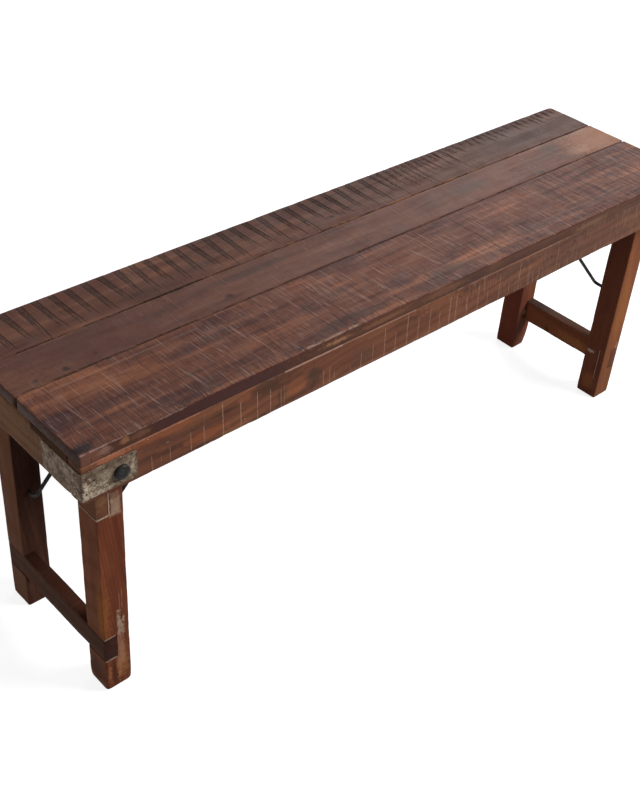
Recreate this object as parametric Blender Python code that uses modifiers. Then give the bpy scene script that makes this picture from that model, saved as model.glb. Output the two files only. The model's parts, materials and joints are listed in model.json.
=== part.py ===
"""Folding bench: three reclaimed planks on a shallow frame, two leg frames that fold in under it,
and a bent iron rod at each end that props its leg frame open.

Metres, +Z up, +X along the bench, front face towards -Y. The origin is on the floor under the middle.
Left is the end at -X.
"""

import bpy
import bmesh
from math import cos, pi, radians, sin, tan
from mathutils import Vector

BENCH_NAME = "folding_bench"

# The seat.
bench_length = 1.200
bench_width = 0.303
seat_height = 0.465
plank_thickness = 0.018
plank_gap = 0.0012
front_plank_width = 0.1381
middle_plank_width = 0.0738
plank_edge = 0.0012
plank_corner = 0.0015
broken_corner = 0.0065
worn_corner = 0.0050
rubbed_corner = 0.0030

# The frame under the planks.
rail_height = 0.057
side_rail_thickness = 0.0265
end_rail_thickness = 0.0336
rail_edge = 0.0015
batten_width = 0.070
batten_thickness = 0.020

# The leg frames.
leg_width = 0.0405
leg_depth = 0.0415
leg_edge = 0.0010
foot_round = 0.0040
stretcher_height = 0.0417
stretcher_thickness = 0.020
stretcher_bottom = 0.0619

# The block that fills an old joint in the front left leg.
patch_height = 0.042
patch_depth = 0.018
patch_below_bolt = 0.0918

# The pivot bolts, with their washers and nuts.
bolt_above_rail_bottom = 0.0265
bolt_radius = 0.005
bolt_head_radius = 0.0105
bolt_head_height = 0.005
bolt_head_edge = 0.0012
bolt_tail = 0.003
washer_radius = 0.012
washer_thickness = 0.002
nut_across_flats = 0.017
nut_height = 0.008

# The iron straps round the corners.
strap_thickness = 0.0012
strap_height = 0.0422
strap_above_rail_bottom = 0.0067
strap_side_length = 0.077
strap_end_length = 0.082
strap_bend = 0.0008

# The stays: a rod hooked into both legs of a frame, with a crossbar under the seat.
rod_radius = 0.003
rod_bend = 0.008
rod_hole_below_bolt = 0.200
rod_hole_depth = 0.024
rod_end_play = 0.001
rear_stub = 0.015
front_stub = 0.025
stay_slope = 47.5
folded_stay_slope = 3.0
crossbar_below_planks = 0.016

# The bevelled cleat that the crossbar wedges under, and the strip that holds it there.
cleat_width = 0.150
cleat_bevel = 17.5
cleat_bevel_length = 0.016
cleat_flat_length = 0.032
cleat_lip = 0.004
cleat_edge = 0.0006
strip_thickness = 0.0015
strip_width = 0.020
strip_flange = 0.024
strip_slope = 22.0
strip_lip = 0.008
strip_bend = 0.0006

# Clearances.
seat_gap = 0.0003
running_gap = 0.0004
overrun = 0.010

# Facets.
round_steps = 24
hole_steps = 24
arc_step = 15.0
sharp_angle = 35.0
merge_distance = 0.00001

WOOD_TOP = ("reclaimed_wood_top", (0.130, 0.055, 0.036), 0.45, 0.0)
WOOD_RAIL = ("reclaimed_wood_rail", (0.155, 0.062, 0.036), 0.45, 0.0)
WOOD_LEG = ("reclaimed_wood_leg", (0.140, 0.050, 0.030), 0.42, 0.0)
WOOD_HIDDEN = ("reclaimed_wood_hidden", (0.110, 0.060, 0.040), 0.65, 0.0)
STRAP_IRON = ("weathered_strap_iron", (0.190, 0.150, 0.105), 0.75, 0.4)
BLACK_IRON = ("black_iron", (0.020, 0.018, 0.018), 0.50, 0.8)

LEFT = -1
RIGHT = 1
FRONT = -1
REAR = 1
END_NAMES = {LEFT: "left", RIGHT: "right"}
SIDE_NAMES = {FRONT: "front", REAR: "rear"}
PATCHED_LEG = (LEFT, FRONT)

# Places that follow from the sizes.
half_length = bench_length / 2
half_width = bench_width / 2
plank_underside = seat_height - plank_thickness
rail_top = plank_underside - seat_gap
rail_bottom = rail_top - rail_height
rail_middle = (rail_top + rail_bottom) / 2
bolt_height = rail_bottom + bolt_above_rail_bottom
leg_outer_inset = end_rail_thickness + seat_gap
bolt_inset = leg_outer_inset + leg_width / 2
leg_outer_y = half_width - side_rail_thickness - washer_thickness - 2 * seat_gap
leg_inner_y = leg_outer_y - leg_depth
rod_hole_height = bolt_height - rod_hole_below_bolt
patch_bottom = bolt_height - patch_below_bolt
rear_arm_y = leg_inner_y - rear_stub
front_arm_y = -leg_inner_y + front_stub
crossbar_height = plank_underside - crossbar_below_planks
arm_length = (crossbar_height - rod_hole_height) / sin(radians(stay_slope))
crossbar_inset = bolt_inset + arm_length * cos(radians(stay_slope))
crossbar_centre_y = (rear_arm_y + front_arm_y) / 2


def clear_scene():
    for obj in list(bpy.data.objects):
        bpy.data.objects.remove(obj, do_unlink=True)


def make_collection(name):
    collection = bpy.data.collections.new(name)
    bpy.context.scene.collection.children.link(collection)
    return collection


def material(look):
    name, colour, roughness, metallic = look
    found = bpy.data.materials.get(name)
    if found:
        return found
    made = bpy.data.materials.new(name)
    made.use_nodes = True
    shader = made.node_tree.nodes["Principled BSDF"]
    shader.inputs["Base Color"].default_value = (*colour, 1.0)
    shader.inputs["Roughness"].default_value = roughness
    shader.inputs["Metallic"].default_value = metallic
    made.diffuse_color = (*colour, 1.0)
    return made


def add_object(name, data, collection, look=None, place=(0, 0, 0), turn=(0, 0, 0), parent=None):
    obj = bpy.data.objects.new(name, data)
    obj.location = place
    obj.rotation_euler = turn
    obj.parent = parent
    collection.objects.link(obj)
    if look:
        data.materials.append(material(look))
    return obj


def add_axis(name, place, collection, parent=None):
    """An empty on a joint's axis, which the moving pieces hang on."""
    axis = add_object(name, None, collection, place=place, parent=parent)
    axis.empty_display_size = leg_width
    return axis


def add_cutter(obj):
    obj.hide_render = True
    obj.display_type = "WIRE"
    return obj


def box_mesh(name, size):
    mesh = bpy.data.meshes.new(name)
    shape = bmesh.new()
    bmesh.ops.create_cube(shape, size=1)
    bmesh.ops.scale(shape, vec=size, verts=shape.verts)
    shape.to_mesh(mesh)
    shape.free()
    return mesh


def rod_mesh(name, radius, length, steps):
    """A plain cylinder about its own Z axis."""
    mesh = bpy.data.meshes.new(name)
    shape = bmesh.new()
    bmesh.ops.create_cone(shape, cap_ends=True, segments=steps, radius1=radius, radius2=radius, depth=length)
    shape.to_mesh(mesh)
    shape.free()
    return mesh


def shade_round(mesh):
    mesh.shade_smooth()
    mesh.set_sharp_from_angle(angle=radians(sharp_angle))


def rounded_outline(corners):
    """Points of a closed outline whose corners, each (x, y, radius), are rounded by arcs."""
    points = []
    for i, (x, y, radius) in enumerate(corners):
        corner = Vector((x, y))
        if not radius:
            points.append(corner)
            continue
        before = Vector(corners[i - 1][:2]) - corner
        after = Vector(corners[(i + 1) % len(corners)][:2]) - corner
        points += fillet(corner, before, after, radius)
    return points


def fillet(corner, before, after, radius):
    """Points of the arc that rounds a corner, from the ways to the points before and after it."""
    before = before.normalized()
    after = after.normalized()
    turn = pi - before.angle(after)
    steps = max(2, round(turn / radians(arc_step)))
    reach = radius * tan(turn / 2)
    centre = corner + (before + after).normalized() * (radius / cos(turn / 2))
    start = corner + before * reach - centre
    side = (after - before).normalized()
    middle = (corner - centre).normalized()
    points = []
    for step in range(steps + 1):
        angle = turn * (step / steps - 1 / 2)
        points.append(centre + start.length * (middle * cos(angle) + side * sin(angle)))
    return points


def plate(name, outline, thickness, collection, look, place, turn=(0, 0, 0), parent=None, edge=0):
    """A flat outline with a thickness, centred on its own plane, as a mesh with its edges eased."""
    curve = bpy.data.curves.new(name + "_outline", "CURVE")
    curve.dimensions = "2D"
    curve.fill_mode = "BOTH"
    curve.extrude = thickness / 2
    spline = curve.splines.new("POLY")
    spline.points.add(len(outline) - 1)
    for point, spot in zip(spline.points, outline):
        point.co = (spot.x, spot.y, 0, 1)
    spline.use_cyclic_u = True
    drawn = add_object(name + "_outline", curve, collection)
    bpy.context.view_layer.update()
    solid = drawn.evaluated_get(bpy.context.evaluated_depsgraph_get())
    mesh = bpy.data.meshes.new_from_object(solid)
    bpy.data.objects.remove(drawn, do_unlink=True)
    mesh.name = name
    shape = bmesh.new()
    shape.from_mesh(mesh)
    bmesh.ops.remove_doubles(shape, verts=shape.verts, dist=merge_distance)
    bmesh.ops.dissolve_limit(shape, angle_limit=radians(1), verts=shape.verts, edges=shape.edges)
    bmesh.ops.recalc_face_normals(shape, faces=shape.faces)
    shape.to_mesh(mesh)
    shape.free()
    shade_round(mesh)
    obj = add_object(name, mesh, collection, look, place, turn, parent)
    if edge:
        ease_edges(obj, edge)
    return obj


def box(name, size, collection, look, place, parent=None, edge=0):
    obj = add_object(name, box_mesh(name, size), collection, look, place, parent=parent)
    if edge:
        ease_edges(obj, edge)
    return obj


def ease_edges(obj, width):
    bevel = obj.modifiers.new("eased_edges", "BEVEL")
    bevel.width = width
    bevel.segments = 2
    bevel.limit_method = "ANGLE"
    bevel.angle_limit = radians(sharp_angle)


def cut(obj, cutter):
    """Takes the cutter's shape out of the object."""
    boolean = obj.modifiers.new("cut_" + cutter.name, "BOOLEAN")
    boolean.operation = "DIFFERENCE"
    boolean.solver = "EXACT"
    boolean.object = cutter


def turned(name, profile, collection, look, place, turn):
    """A profile of (radius, height) pairs, from the top down its outer side, turned about its own Z axis."""
    mesh = bpy.data.meshes.new(name)
    edges = [(i, i + 1) for i in range(len(profile) - 1)]
    mesh.from_pydata([(radius, 0, height) for radius, height in profile], edges, [])
    obj = add_object(name, mesh, collection, look, place, turn)
    screw = obj.modifiers.new("turned", "SCREW")
    screw.axis = "Z"
    screw.angle = 2 * pi
    screw.steps = round_steps
    screw.render_steps = round_steps
    screw.use_merge_vertices = True
    screw.merge_threshold = merge_distance
    screw.use_smooth_shade = True
    return obj


def build_planks(parts):
    """Front, middle and rear planks, their corners worn as in the photo."""
    front_edge = -half_width
    middle_edge = front_edge + front_plank_width + plank_gap
    rear_edge = middle_edge + middle_plank_width + plank_gap
    spans = {
        "plank_front": (front_edge, middle_edge - plank_gap),
        "plank_middle": (middle_edge, rear_edge - plank_gap),
        "plank_rear": (rear_edge, half_width),
    }
    # Left front, right front, right rear, left rear.
    corner_sizes = {
        "plank_front": (plank_corner, plank_corner, rubbed_corner, broken_corner),
        "plank_middle": (plank_corner, rubbed_corner, plank_corner, plank_corner),
        "plank_rear": (plank_corner, plank_corner, worn_corner, plank_corner),
    }
    for name, (low, high) in spans.items():
        places = ((-half_length, low), (half_length, low), (half_length, high), (-half_length, high))
        corners = [(x, y, size) for (x, y), size in zip(places, corner_sizes[name])]
        middle = (0, 0, seat_height - plank_thickness / 2)
        plate(name, rounded_outline(corners), plank_thickness, parts, WOOD_TOP, middle, edge=plank_edge)


def build_rails(parts, bolt_holes):
    """Side rails the full length, with the end rails between them."""
    for side in (FRONT, REAR):
        size = (bench_length, side_rail_thickness, rail_height)
        place = (0, side * (half_width - side_rail_thickness / 2), rail_middle)
        rail = box(f"side_rail_{SIDE_NAMES[side]}", size, parts, WOOD_RAIL, place, edge=rail_edge)
        for hole in bolt_holes.values():
            cut(rail, hole)
    inner_width = bench_width - 2 * (side_rail_thickness + seat_gap)
    for end in (LEFT, RIGHT):
        size = (end_rail_thickness, inner_width, rail_height)
        place = (end * (half_length - end_rail_thickness / 2), 0, rail_middle)
        box(f"end_rail_{END_NAMES[end]}", size, parts, WOOD_RAIL, place, edge=rail_edge)
    size = (batten_width, inner_width, batten_thickness)
    place = (0, 0, rail_top - batten_thickness / 2)
    box("centre_batten", size, parts, WOOD_HIDDEN, place, edge=rail_edge)


def build_strap(end, side, parts, bolt_hole):
    """Sheet iron bent round a corner of the frame. Outline: along the bench, then across it."""
    outer = seat_gap + strap_thickness
    bend = strap_bend + strap_thickness
    corners = (
        (strap_side_length, -seat_gap, 0),
        (strap_side_length, -outer, 0),
        (-outer, -outer, bend),
        (-outer, strap_end_length, 0),
        (-seat_gap, strap_end_length, 0),
        (-seat_gap, -seat_gap, strap_bend),
    )
    outline = [Vector((-end * spot.x, -side * spot.y)) for spot in rounded_outline(corners)]
    name = f"strap_{SIDE_NAMES[side]}_{END_NAMES[end]}"
    height = rail_bottom + strap_above_rail_bottom + strap_height / 2
    place = (end * half_length, side * half_width, height)
    strap = plate(name, outline, strap_height, parts, STRAP_IRON, place)
    cut(strap, bolt_hole)


def build_pivot(end, side, parts):
    """A bolt from outside the strap to inside the leg, its washers and its nut."""
    corner_name = f"{SIDE_NAMES[side]}_{END_NAMES[end]}"
    turn = (-side * pi / 2, 0, 0)
    x = end * (half_length - bolt_inset)

    def place(y):
        return (x, side * y, bolt_height)

    head_seat = half_width + 2 * seat_gap + strap_thickness
    nut_washer_y = leg_inner_y - seat_gap - washer_thickness / 2
    nut_y = nut_washer_y - washer_thickness / 2 - seat_gap - nut_height / 2
    shank_length = head_seat - nut_y + nut_height / 2 + bolt_tail
    bolt_profile = (
        (0, bolt_head_height),
        (bolt_head_radius - 2 * bolt_head_edge, bolt_head_height - bolt_head_edge / 4),
        (bolt_head_radius - bolt_head_edge / 2, bolt_head_height - bolt_head_edge),
        (bolt_head_radius, bolt_head_height - 2 * bolt_head_edge),
        (bolt_head_radius, 0),
        (bolt_radius, 0),
        (bolt_radius, -shank_length + bolt_head_edge),
        (bolt_radius - bolt_head_edge, -shank_length),
        (0, -shank_length),
    )
    turned(f"pivot_bolt_{corner_name}", bolt_profile, parts, BLACK_IRON, place(head_seat), turn)

    inner_radius = bolt_radius + running_gap
    washer_profile = (
        (inner_radius, washer_thickness / 2),
        (washer_radius, washer_thickness / 2),
        (washer_radius, -washer_thickness / 2),
        (inner_radius, -washer_thickness / 2),
        (inner_radius, washer_thickness / 2),
    )
    leg_washer_y = leg_outer_y + seat_gap + washer_thickness / 2
    turned(f"leg_washer_{corner_name}", washer_profile, parts, BLACK_IRON, place(leg_washer_y), turn)
    turned(f"nut_washer_{corner_name}", washer_profile, parts, BLACK_IRON, place(nut_washer_y), turn)

    nut_profile_radius = nut_across_flats / 2 / cos(pi / 6)
    nut_mesh = rod_mesh(f"pivot_nut_{corner_name}", nut_profile_radius, nut_height, 6)
    return add_object(f"pivot_nut_{corner_name}", nut_mesh, parts, BLACK_IRON, place(nut_y), turn)


def notch_corners(bottom, height, depth):
    """Corners of a notch in a leg's outer face, from its top down, for a block let in flush."""
    outer = -leg_width / 2
    inner = outer + depth + seat_gap
    low = bottom - seat_gap - bolt_height
    high = low + height + 2 * seat_gap
    return ((outer, high, 0), (inner, high, 0), (inner, low, 0), (outer, low, 0))


def leg_outline(end, patched):
    """A leg from the side: round top about the bolt, notches in the outer face, rounded foot."""
    half = leg_width / 2
    top_steps = round(180 / arc_step)
    points = []
    for step in range(top_steps + 1):
        angle = pi * step / top_steps
        points.append(Vector((half * cos(angle), half * sin(angle))))
    corners = ((-half, -bolt_height, foot_round), (half, -bolt_height, foot_round), (half, 0, 0))
    corners = notch_corners(stretcher_bottom, stretcher_height, stretcher_thickness) + corners
    if patched:
        corners = notch_corners(patch_bottom, patch_height, patch_depth) + corners
    points += rounded_outline(corners)[:-1]
    return [Vector((-end * spot.x, spot.y)) for spot in points]


def build_leg_frame(end, parts, axis, bolt_hole, rod_hole):
    """Two legs joined by a stretcher that is let into their outer faces."""
    for side in (FRONT, REAR):
        name = f"leg_{SIDE_NAMES[side]}_{END_NAMES[end]}"
        place = (0, side * (leg_outer_y + leg_inner_y) / 2, 0)
        turn = (pi / 2, 0, 0)
        patched = (end, side) == PATCHED_LEG
        leg = plate(name, leg_outline(end, patched), leg_depth, parts, WOOD_LEG, place, turn, axis, leg_edge)
        cut(leg, bolt_hole)
        cut(leg, rod_hole)
        if patched:
            size = (patch_depth, leg_depth, patch_height)
            x = end * (leg_width - patch_depth) / 2
            place = (x, place[1], patch_bottom + patch_height / 2 - bolt_height)
            box("leg_patch", size, parts, WOOD_LEG, place, axis, leg_edge)
    size = (stretcher_thickness, 2 * leg_outer_y, stretcher_height)
    x = end * (leg_width - stretcher_thickness) / 2
    place = (x, 0, stretcher_bottom + stretcher_height / 2 - bolt_height)
    box(f"stretcher_{END_NAMES[end]}", size, parts, WOOD_LEG, place, axis, leg_edge)


def stay_route():
    """The rod's centre line, as (distance up the slope, y), bent at four corners."""
    reach = leg_inner_y + rod_hole_depth - rod_end_play
    corners = (
        (0, reach),
        (0, rear_arm_y),
        (arm_length, rear_arm_y),
        (arm_length, front_arm_y),
        (0, front_arm_y),
        (0, -reach),
    )
    spots = [Vector(corner) for corner in corners]
    route = [spots[0]]
    for before, corner, after in zip(spots, spots[1:], spots[2:]):
        route += fillet(corner, before - corner, after - corner, rod_bend)
    route.append(spots[-1])
    return route


def build_stay(end, parts, axis):
    """One iron rod: a stub in each leg, two arms and a crossbar."""
    name = f"stay_rod_{END_NAMES[end]}"
    curve = bpy.data.curves.new(name, "CURVE")
    curve.dimensions = "3D"
    curve.bevel_depth = rod_radius
    curve.bevel_resolution = 4
    curve.use_fill_caps = True
    route = stay_route()
    spline = curve.splines.new("POLY")
    spline.points.add(len(route) - 1)
    slope = radians(stay_slope)
    for point, spot in zip(spline.points, route):
        point.co = (-end * spot.x * cos(slope), spot.y, spot.x * sin(slope), 1)
    spline.use_smooth = True
    add_object(name, curve, parts, BLACK_IRON, parent=axis)


def build_catch(end, parts):
    """The cleat across the planks with its bevelled end over the crossbar, and the strip under the bar.

    Both outlines are drawn from the crossbar's centre: towards the middle of the bench, then up.
    """
    top = crossbar_below_planks - seat_gap
    fall = tan(radians(cleat_bevel))
    over_bar = (rod_radius + seat_gap) / cos(radians(cleat_bevel))
    bevel_end = cleat_bevel_length - cleat_lip
    cleat_bottom = over_bar - bevel_end * fall
    cleat_corners = (
        (-cleat_lip, top),
        (-cleat_lip, over_bar + cleat_lip * fall),
        (bevel_end, cleat_bottom),
        (bevel_end + cleat_flat_length, cleat_bottom),
        (bevel_end + cleat_flat_length, top),
    )
    place = (end * (half_length - crossbar_inset), 0, crossbar_height)
    turn = (pi / 2, 0, 0)
    outline = [Vector((-end * x, z)) for x, z in cleat_corners]
    name = f"rod_cleat_{END_NAMES[end]}"
    plate(name, outline, cleat_width, parts, WOOD_HIDDEN, place, turn, edge=cleat_edge)

    web = -cleat_lip - seat_gap
    drop = tan(radians(strip_slope))
    under_bar = -(rod_radius + running_gap) / cos(radians(strip_slope))
    lip_depth = strip_thickness / cos(radians(strip_slope))
    outer_bend = strip_bend + strip_thickness
    strip_corners = (
        (web, top, outer_bend),
        (web, under_bar - web * drop, strip_bend),
        (strip_lip, under_bar - strip_lip * drop, 0),
        (strip_lip, under_bar - lip_depth - strip_lip * drop, 0),
        (web - strip_thickness, under_bar - lip_depth - (web - strip_thickness) * drop, outer_bend),
        (web - strip_thickness, top - strip_thickness, strip_bend),
        (web - strip_flange, top - strip_thickness, 0),
        (web - strip_flange, top, 0),
    )
    outline = [Vector((-end * spot.x, spot.y)) for spot in rounded_outline(strip_corners)]
    place = (place[0], crossbar_centre_y, crossbar_height)
    plate(f"rod_strip_{END_NAMES[end]}", outline, strip_width, parts, BLACK_IRON, place, turn)


def build_bench():
    clear_scene()
    parts = make_collection(BENCH_NAME)
    cutters = make_collection("cutters")

    bolt_holes = {}
    rod_holes = {}
    across = (pi / 2, 0, 0)
    for end in (LEFT, RIGHT):
        x = end * (half_length - bolt_inset)
        through = bench_width + 2 * overrun
        mesh = rod_mesh("bolt_hole", bolt_radius + running_gap, through, hole_steps)
        place = (x, 0, bolt_height)
        hole = add_object(f"bolt_hole_{END_NAMES[end]}", mesh, cutters, place=place, turn=across)
        bolt_holes[end] = add_cutter(hole)
        blind = 2 * (leg_inner_y + rod_hole_depth)
        mesh = rod_mesh("rod_hole", rod_radius + running_gap, blind, hole_steps)
        place = (x, 0, rod_hole_height)
        hole = add_object(f"rod_hole_{END_NAMES[end]}", mesh, cutters, place=place, turn=across)
        rod_holes[end] = add_cutter(hole)

    build_planks(parts)
    build_rails(parts, bolt_holes)
    for end in (LEFT, RIGHT):
        for side in (FRONT, REAR):
            build_strap(end, side, parts, bolt_holes[end])
            cut(build_pivot(end, side, parts), bolt_holes[end])
        place = (end * (half_length - bolt_inset), 0, bolt_height)
        fold_axis = add_axis(f"{END_NAMES[end]}_fold_axis", place, parts)
        place = (0, 0, -rod_hole_below_bolt)
        stay_axis = add_axis(f"{END_NAMES[end]}_stay_axis", place, parts, fold_axis)
        build_leg_frame(end, parts, fold_axis, bolt_holes[end], rod_holes[end])
        build_stay(end, parts, stay_axis)
        build_catch(end, parts)
    bpy.context.view_layer.update()


build_bench()
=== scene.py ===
import json
from math import cos, pi, radians, sin, sqrt, tan

import bpy
import numpy as np
from mathutils import Matrix, Vector


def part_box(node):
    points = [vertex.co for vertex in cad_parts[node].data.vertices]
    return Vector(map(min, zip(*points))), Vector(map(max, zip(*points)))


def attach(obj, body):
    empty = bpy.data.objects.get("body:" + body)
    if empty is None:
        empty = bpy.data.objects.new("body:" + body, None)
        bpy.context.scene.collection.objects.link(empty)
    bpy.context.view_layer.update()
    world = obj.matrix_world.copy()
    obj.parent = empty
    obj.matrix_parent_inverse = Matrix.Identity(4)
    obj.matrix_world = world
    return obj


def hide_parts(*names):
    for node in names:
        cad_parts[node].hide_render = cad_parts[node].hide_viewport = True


# A folding bench of reclaimed planks, with two leg frames, iron corner straps and bent rod stays.
# Lengths are in metres, +X runs along the bench and its front faces -Y.

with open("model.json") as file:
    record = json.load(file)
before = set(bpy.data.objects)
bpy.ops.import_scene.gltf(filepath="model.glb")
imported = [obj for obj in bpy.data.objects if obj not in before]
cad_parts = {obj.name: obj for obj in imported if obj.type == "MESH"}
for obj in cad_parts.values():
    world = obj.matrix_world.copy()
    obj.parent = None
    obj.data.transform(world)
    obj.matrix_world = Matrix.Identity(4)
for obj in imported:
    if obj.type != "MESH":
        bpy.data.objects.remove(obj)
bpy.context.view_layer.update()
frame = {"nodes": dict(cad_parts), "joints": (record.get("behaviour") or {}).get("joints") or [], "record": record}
print("frame loaded:", len(frame["nodes"]), "nodes")


# Values in a shader. Reckoning with wires adds Math nodes, or VectorMath nodes for vectors and colours.

class Wire:
    def __init__(self, socket):
        self.socket = socket
        self.tree = socket.id_data

    def __add__(self, other):
        return reckon("ADD", self, other)

    def __sub__(self, other):
        return reckon("SUBTRACT", self, other)

    def __rsub__(self, other):
        return reckon("SUBTRACT", other, self)

    def __mul__(self, other):
        return reckon("MULTIPLY", self, other)

    def __truediv__(self, other):
        return reckon("DIVIDE", self, other)

    def __abs__(self):
        return reckon("ABSOLUTE", self)


class Outputs:
    # A node's outputs, each taken as a wire by its name or number.
    def __init__(self, sockets):
        self.sockets = sockets

    def __getitem__(self, key):
        return Wire(self.sockets[key])


def plug(socket, value):
    if isinstance(value, Wire):
        value.tree.links.new(value.socket, socket)
    elif socket.type == "RGBA":
        socket.default_value = (*value[:3], 1)
    else:
        socket.default_value = value


def wireUp(node, wires):
    for key, value in wires.items():
        plug(node.inputs[key], value)
    return Outputs(node.outputs)


def put(tree, kind, wires=None, **settings):
    node = tree.nodes.new("ShaderNode" + kind)
    for key, value in settings.items():
        setattr(node, key, value)
    return wireUp(node, wires or {})


def reckon(operation, a, b=None):
    first = a if isinstance(a, Wire) else b
    kind = "Math" if first.socket.type == "VALUE" else "VectorMath"
    wires = {0: a} if b is None else {0: a, 1: b}
    return put(first.tree, kind, wires, operation=operation)[0]


def larger(a, b):
    return reckon("MAXIMUM", a, b)


def smaller(a, b):
    return reckon("MINIMUM", a, b)


def lengthOf(vector):
    return put(vector.tree, "VectorMath", {0: vector}, operation="LENGTH")["Value"]


def dot(vector, way):
    return put(vector.tree, "VectorMath", {0: vector, 1: way}, operation="DOT_PRODUCT")["Value"]


def split(vector):
    return put(vector.tree, "SeparateXYZ", {0: vector})


def remap(value, low, high, toLow=0.0, toHigh=1.0):
    wires = {"Value": value, "From Min": low, "From Max": high, "To Min": toLow, "To Max": toHigh}
    return put(value.tree, "MapRange", wires, interpolation_type="SMOOTHSTEP")["Result"]


def blend(amount, under, over, mode="MIX"):
    return put(amount.tree, "Mix", {0: amount, 6: under, 7: over}, data_type="RGBA", blend_type=mode)[2]


def noise(vector, scale, detail=2.0, roughness=0.5):
    wires = {"Vector": vector, "Scale": scale, "Detail": detail, "Roughness": roughness}
    return put(vector.tree, "TexNoise", wires)[0]


def raggedness(position, scale=170):
    return noise(position, scale, 4, 0.65) - 0.5


def newGroup(name, inputs, outputs=("Mask",)):
    # An input given as a number is a Float with that default. One given as a word is of that kind.
    tree = bpy.data.node_groups.new(name, "ShaderNodeTree")
    for label, value in inputs.items():
        kind = value if isinstance(value, str) else "Float"
        socket = tree.interface.new_socket(label, in_out="INPUT", socket_type="NodeSocket" + kind)
        if kind == "Float":
            socket.default_value = value
    for label in outputs:
        kind = "Color" if label == "Color" else "Float"
        tree.interface.new_socket(label, in_out="OUTPUT", socket_type="NodeSocket" + kind)
    given = Outputs(tree.nodes.new("NodeGroupInput").outputs)
    return given, tree.nodes.new("NodeGroupOutput").inputs


def useGroup(name, wires):
    node = wires["Position"].tree.nodes.new("ShaderNodeGroup")
    node.node_tree = bpy.data.node_groups[name]
    return wireUp(node, wires)


# Effects that several finishes share, each a node group. Their grain runs along X of the position given.

def makeGrainGroup():
    given, out = newGroup("reclaimedGrain", {
        "Position": "Vector", "Streak Scale": 70, "Ring Scale": 55, "Ring Strength": 0.4, "Figure": 0.02,
        "Light": "Color", "Middle": "Color", "Dark": "Color",
    }, ("Color", "Height"))
    position = given["Position"]
    long = position * (0.055, 1, 1)
    drift = put(position.tree, "TexNoise", {"Vector": position, "Scale": 3.2, "Detail": 2})["Color"]
    wires = {0: drift - (0.5, 0.5, 0.5), "Scale": given["Figure"]}
    bent = long + put(position.tree, "VectorMath", wires, operation="SCALE")[0]
    streak = noise(bent, given["Streak Scale"], 5, 0.62)
    wires = {"Vector": bent, "Scale": given["Ring Scale"], "Distortion": 5, "Detail": 2, "Detail Scale": 0.35}
    rings = put(position.tree, "TexWave", wires, wave_type="RINGS", rings_direction="X")["Fac"]
    ringLine = remap(rings, 0.5, 1) * given["Ring Strength"]
    pores = remap(noise(position * (0.04, 1, 1), 1300, 1), 0.6, 0.76)
    cloud = noise(position * (0.22, 1, 1), 26, 4, 0.6)
    tone = streak * 0.55 + cloud * 0.45
    colour = blend(remap(tone, 0.36, 0.5), given["Dark"], given["Middle"])
    colour = blend(remap(tone, 0.5, 0.64), colour, given["Light"])
    colour = blend(ringLine, colour, given["Dark"])
    poreDepth = pores * 0.45
    plug(out["Color"], blend(poreDepth, colour, given["Dark"], "MULTIPLY"))
    plug(out["Height"], streak - poreDepth - ringLine)


def makeSawGroup():
    given, out = newGroup("sawMarks", {
        "Position": "Vector", "Spacing": 0.004, "Length": 0.06, "Tilt": 0.05, "Threshold": 0.6,
        "Patch Scale": 9, "Patch From": 0.4,
    })
    position = given["Position"]
    parts = split(position)
    sway = noise(position, 11, 1) * 0.005
    lean = parts["Y"] * given["Tilt"] + sway
    across = (parts["X"] + lean) / given["Spacing"]
    wires = {"X": across, "Y": parts["Y"] / given["Length"], "Z": parts["Z"] / given["Length"]}
    lines = noise(put(position.tree, "CombineXYZ", wires)[0], 1, 2, 0.6)
    sharp = remap(lines, given["Threshold"], given["Threshold"] + 0.07)
    patches = noise(position, given["Patch Scale"], 2)
    patches = remap(patches, given["Patch From"], given["Patch From"] + 0.22)
    plug(out["Mask"], sharp * patches)


def makeArrisGroup():
    given, out = newGroup("arrisWear", {
        "Position": "Vector", "Low": "Vector", "High": "Vector", "Reach": 0.004, "Breakup": 0.5,
    })
    below = given["Position"] - given["Low"]
    above = given["High"] - given["Position"]
    near = split(smaller(below, above))
    least = smaller(near["X"], near["Y"])
    most = larger(near["X"], near["Y"])
    second = larger(least, smaller(most, near["Z"]))
    ragged = raggedness(given["Position"], 95) * (given["Reach"] * 4) * given["Breakup"]
    plug(out["Mask"], remap(second + ragged, given["Reach"], 0))


def makeSpotGroup():
    given, out = newGroup("stainSpot", {
        "Position": "Vector", "Centre": "Vector", "Radius": "Vector", "Softness": 0.5, "Ragged": 0,
        "Rings": 0,
    })
    away = lengthOf((given["Position"] - given["Centre"]) / given["Radius"]) + given["Ragged"]
    mask = remap(away, 1, 1 - given["Softness"])
    ripple = (reckon("SINE", away * 26) + 1) * (given["Rings"] * 0.5)
    plug(out["Mask"], mask * (1 - ripple))


def makeStrokeGroup():
    # One upright saw stroke on a face, from its low edge up to Top.
    given, out = newGroup("sawStroke", {
        "Position": "Vector", "Across": 0, "Top": 1, "Half Width": 0.0009, "Lean": 0.05,
    })
    parts = split(given["Position"])
    below = given["Top"] - parts["Z"]
    middle = given["Across"] + below * given["Lean"]
    away = abs(parts["X"] - middle)
    line = remap(away, given["Half Width"], given["Half Width"] * 0.3)
    plug(out["Mask"], line * remap(below, -0.002, 0.005))


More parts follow.
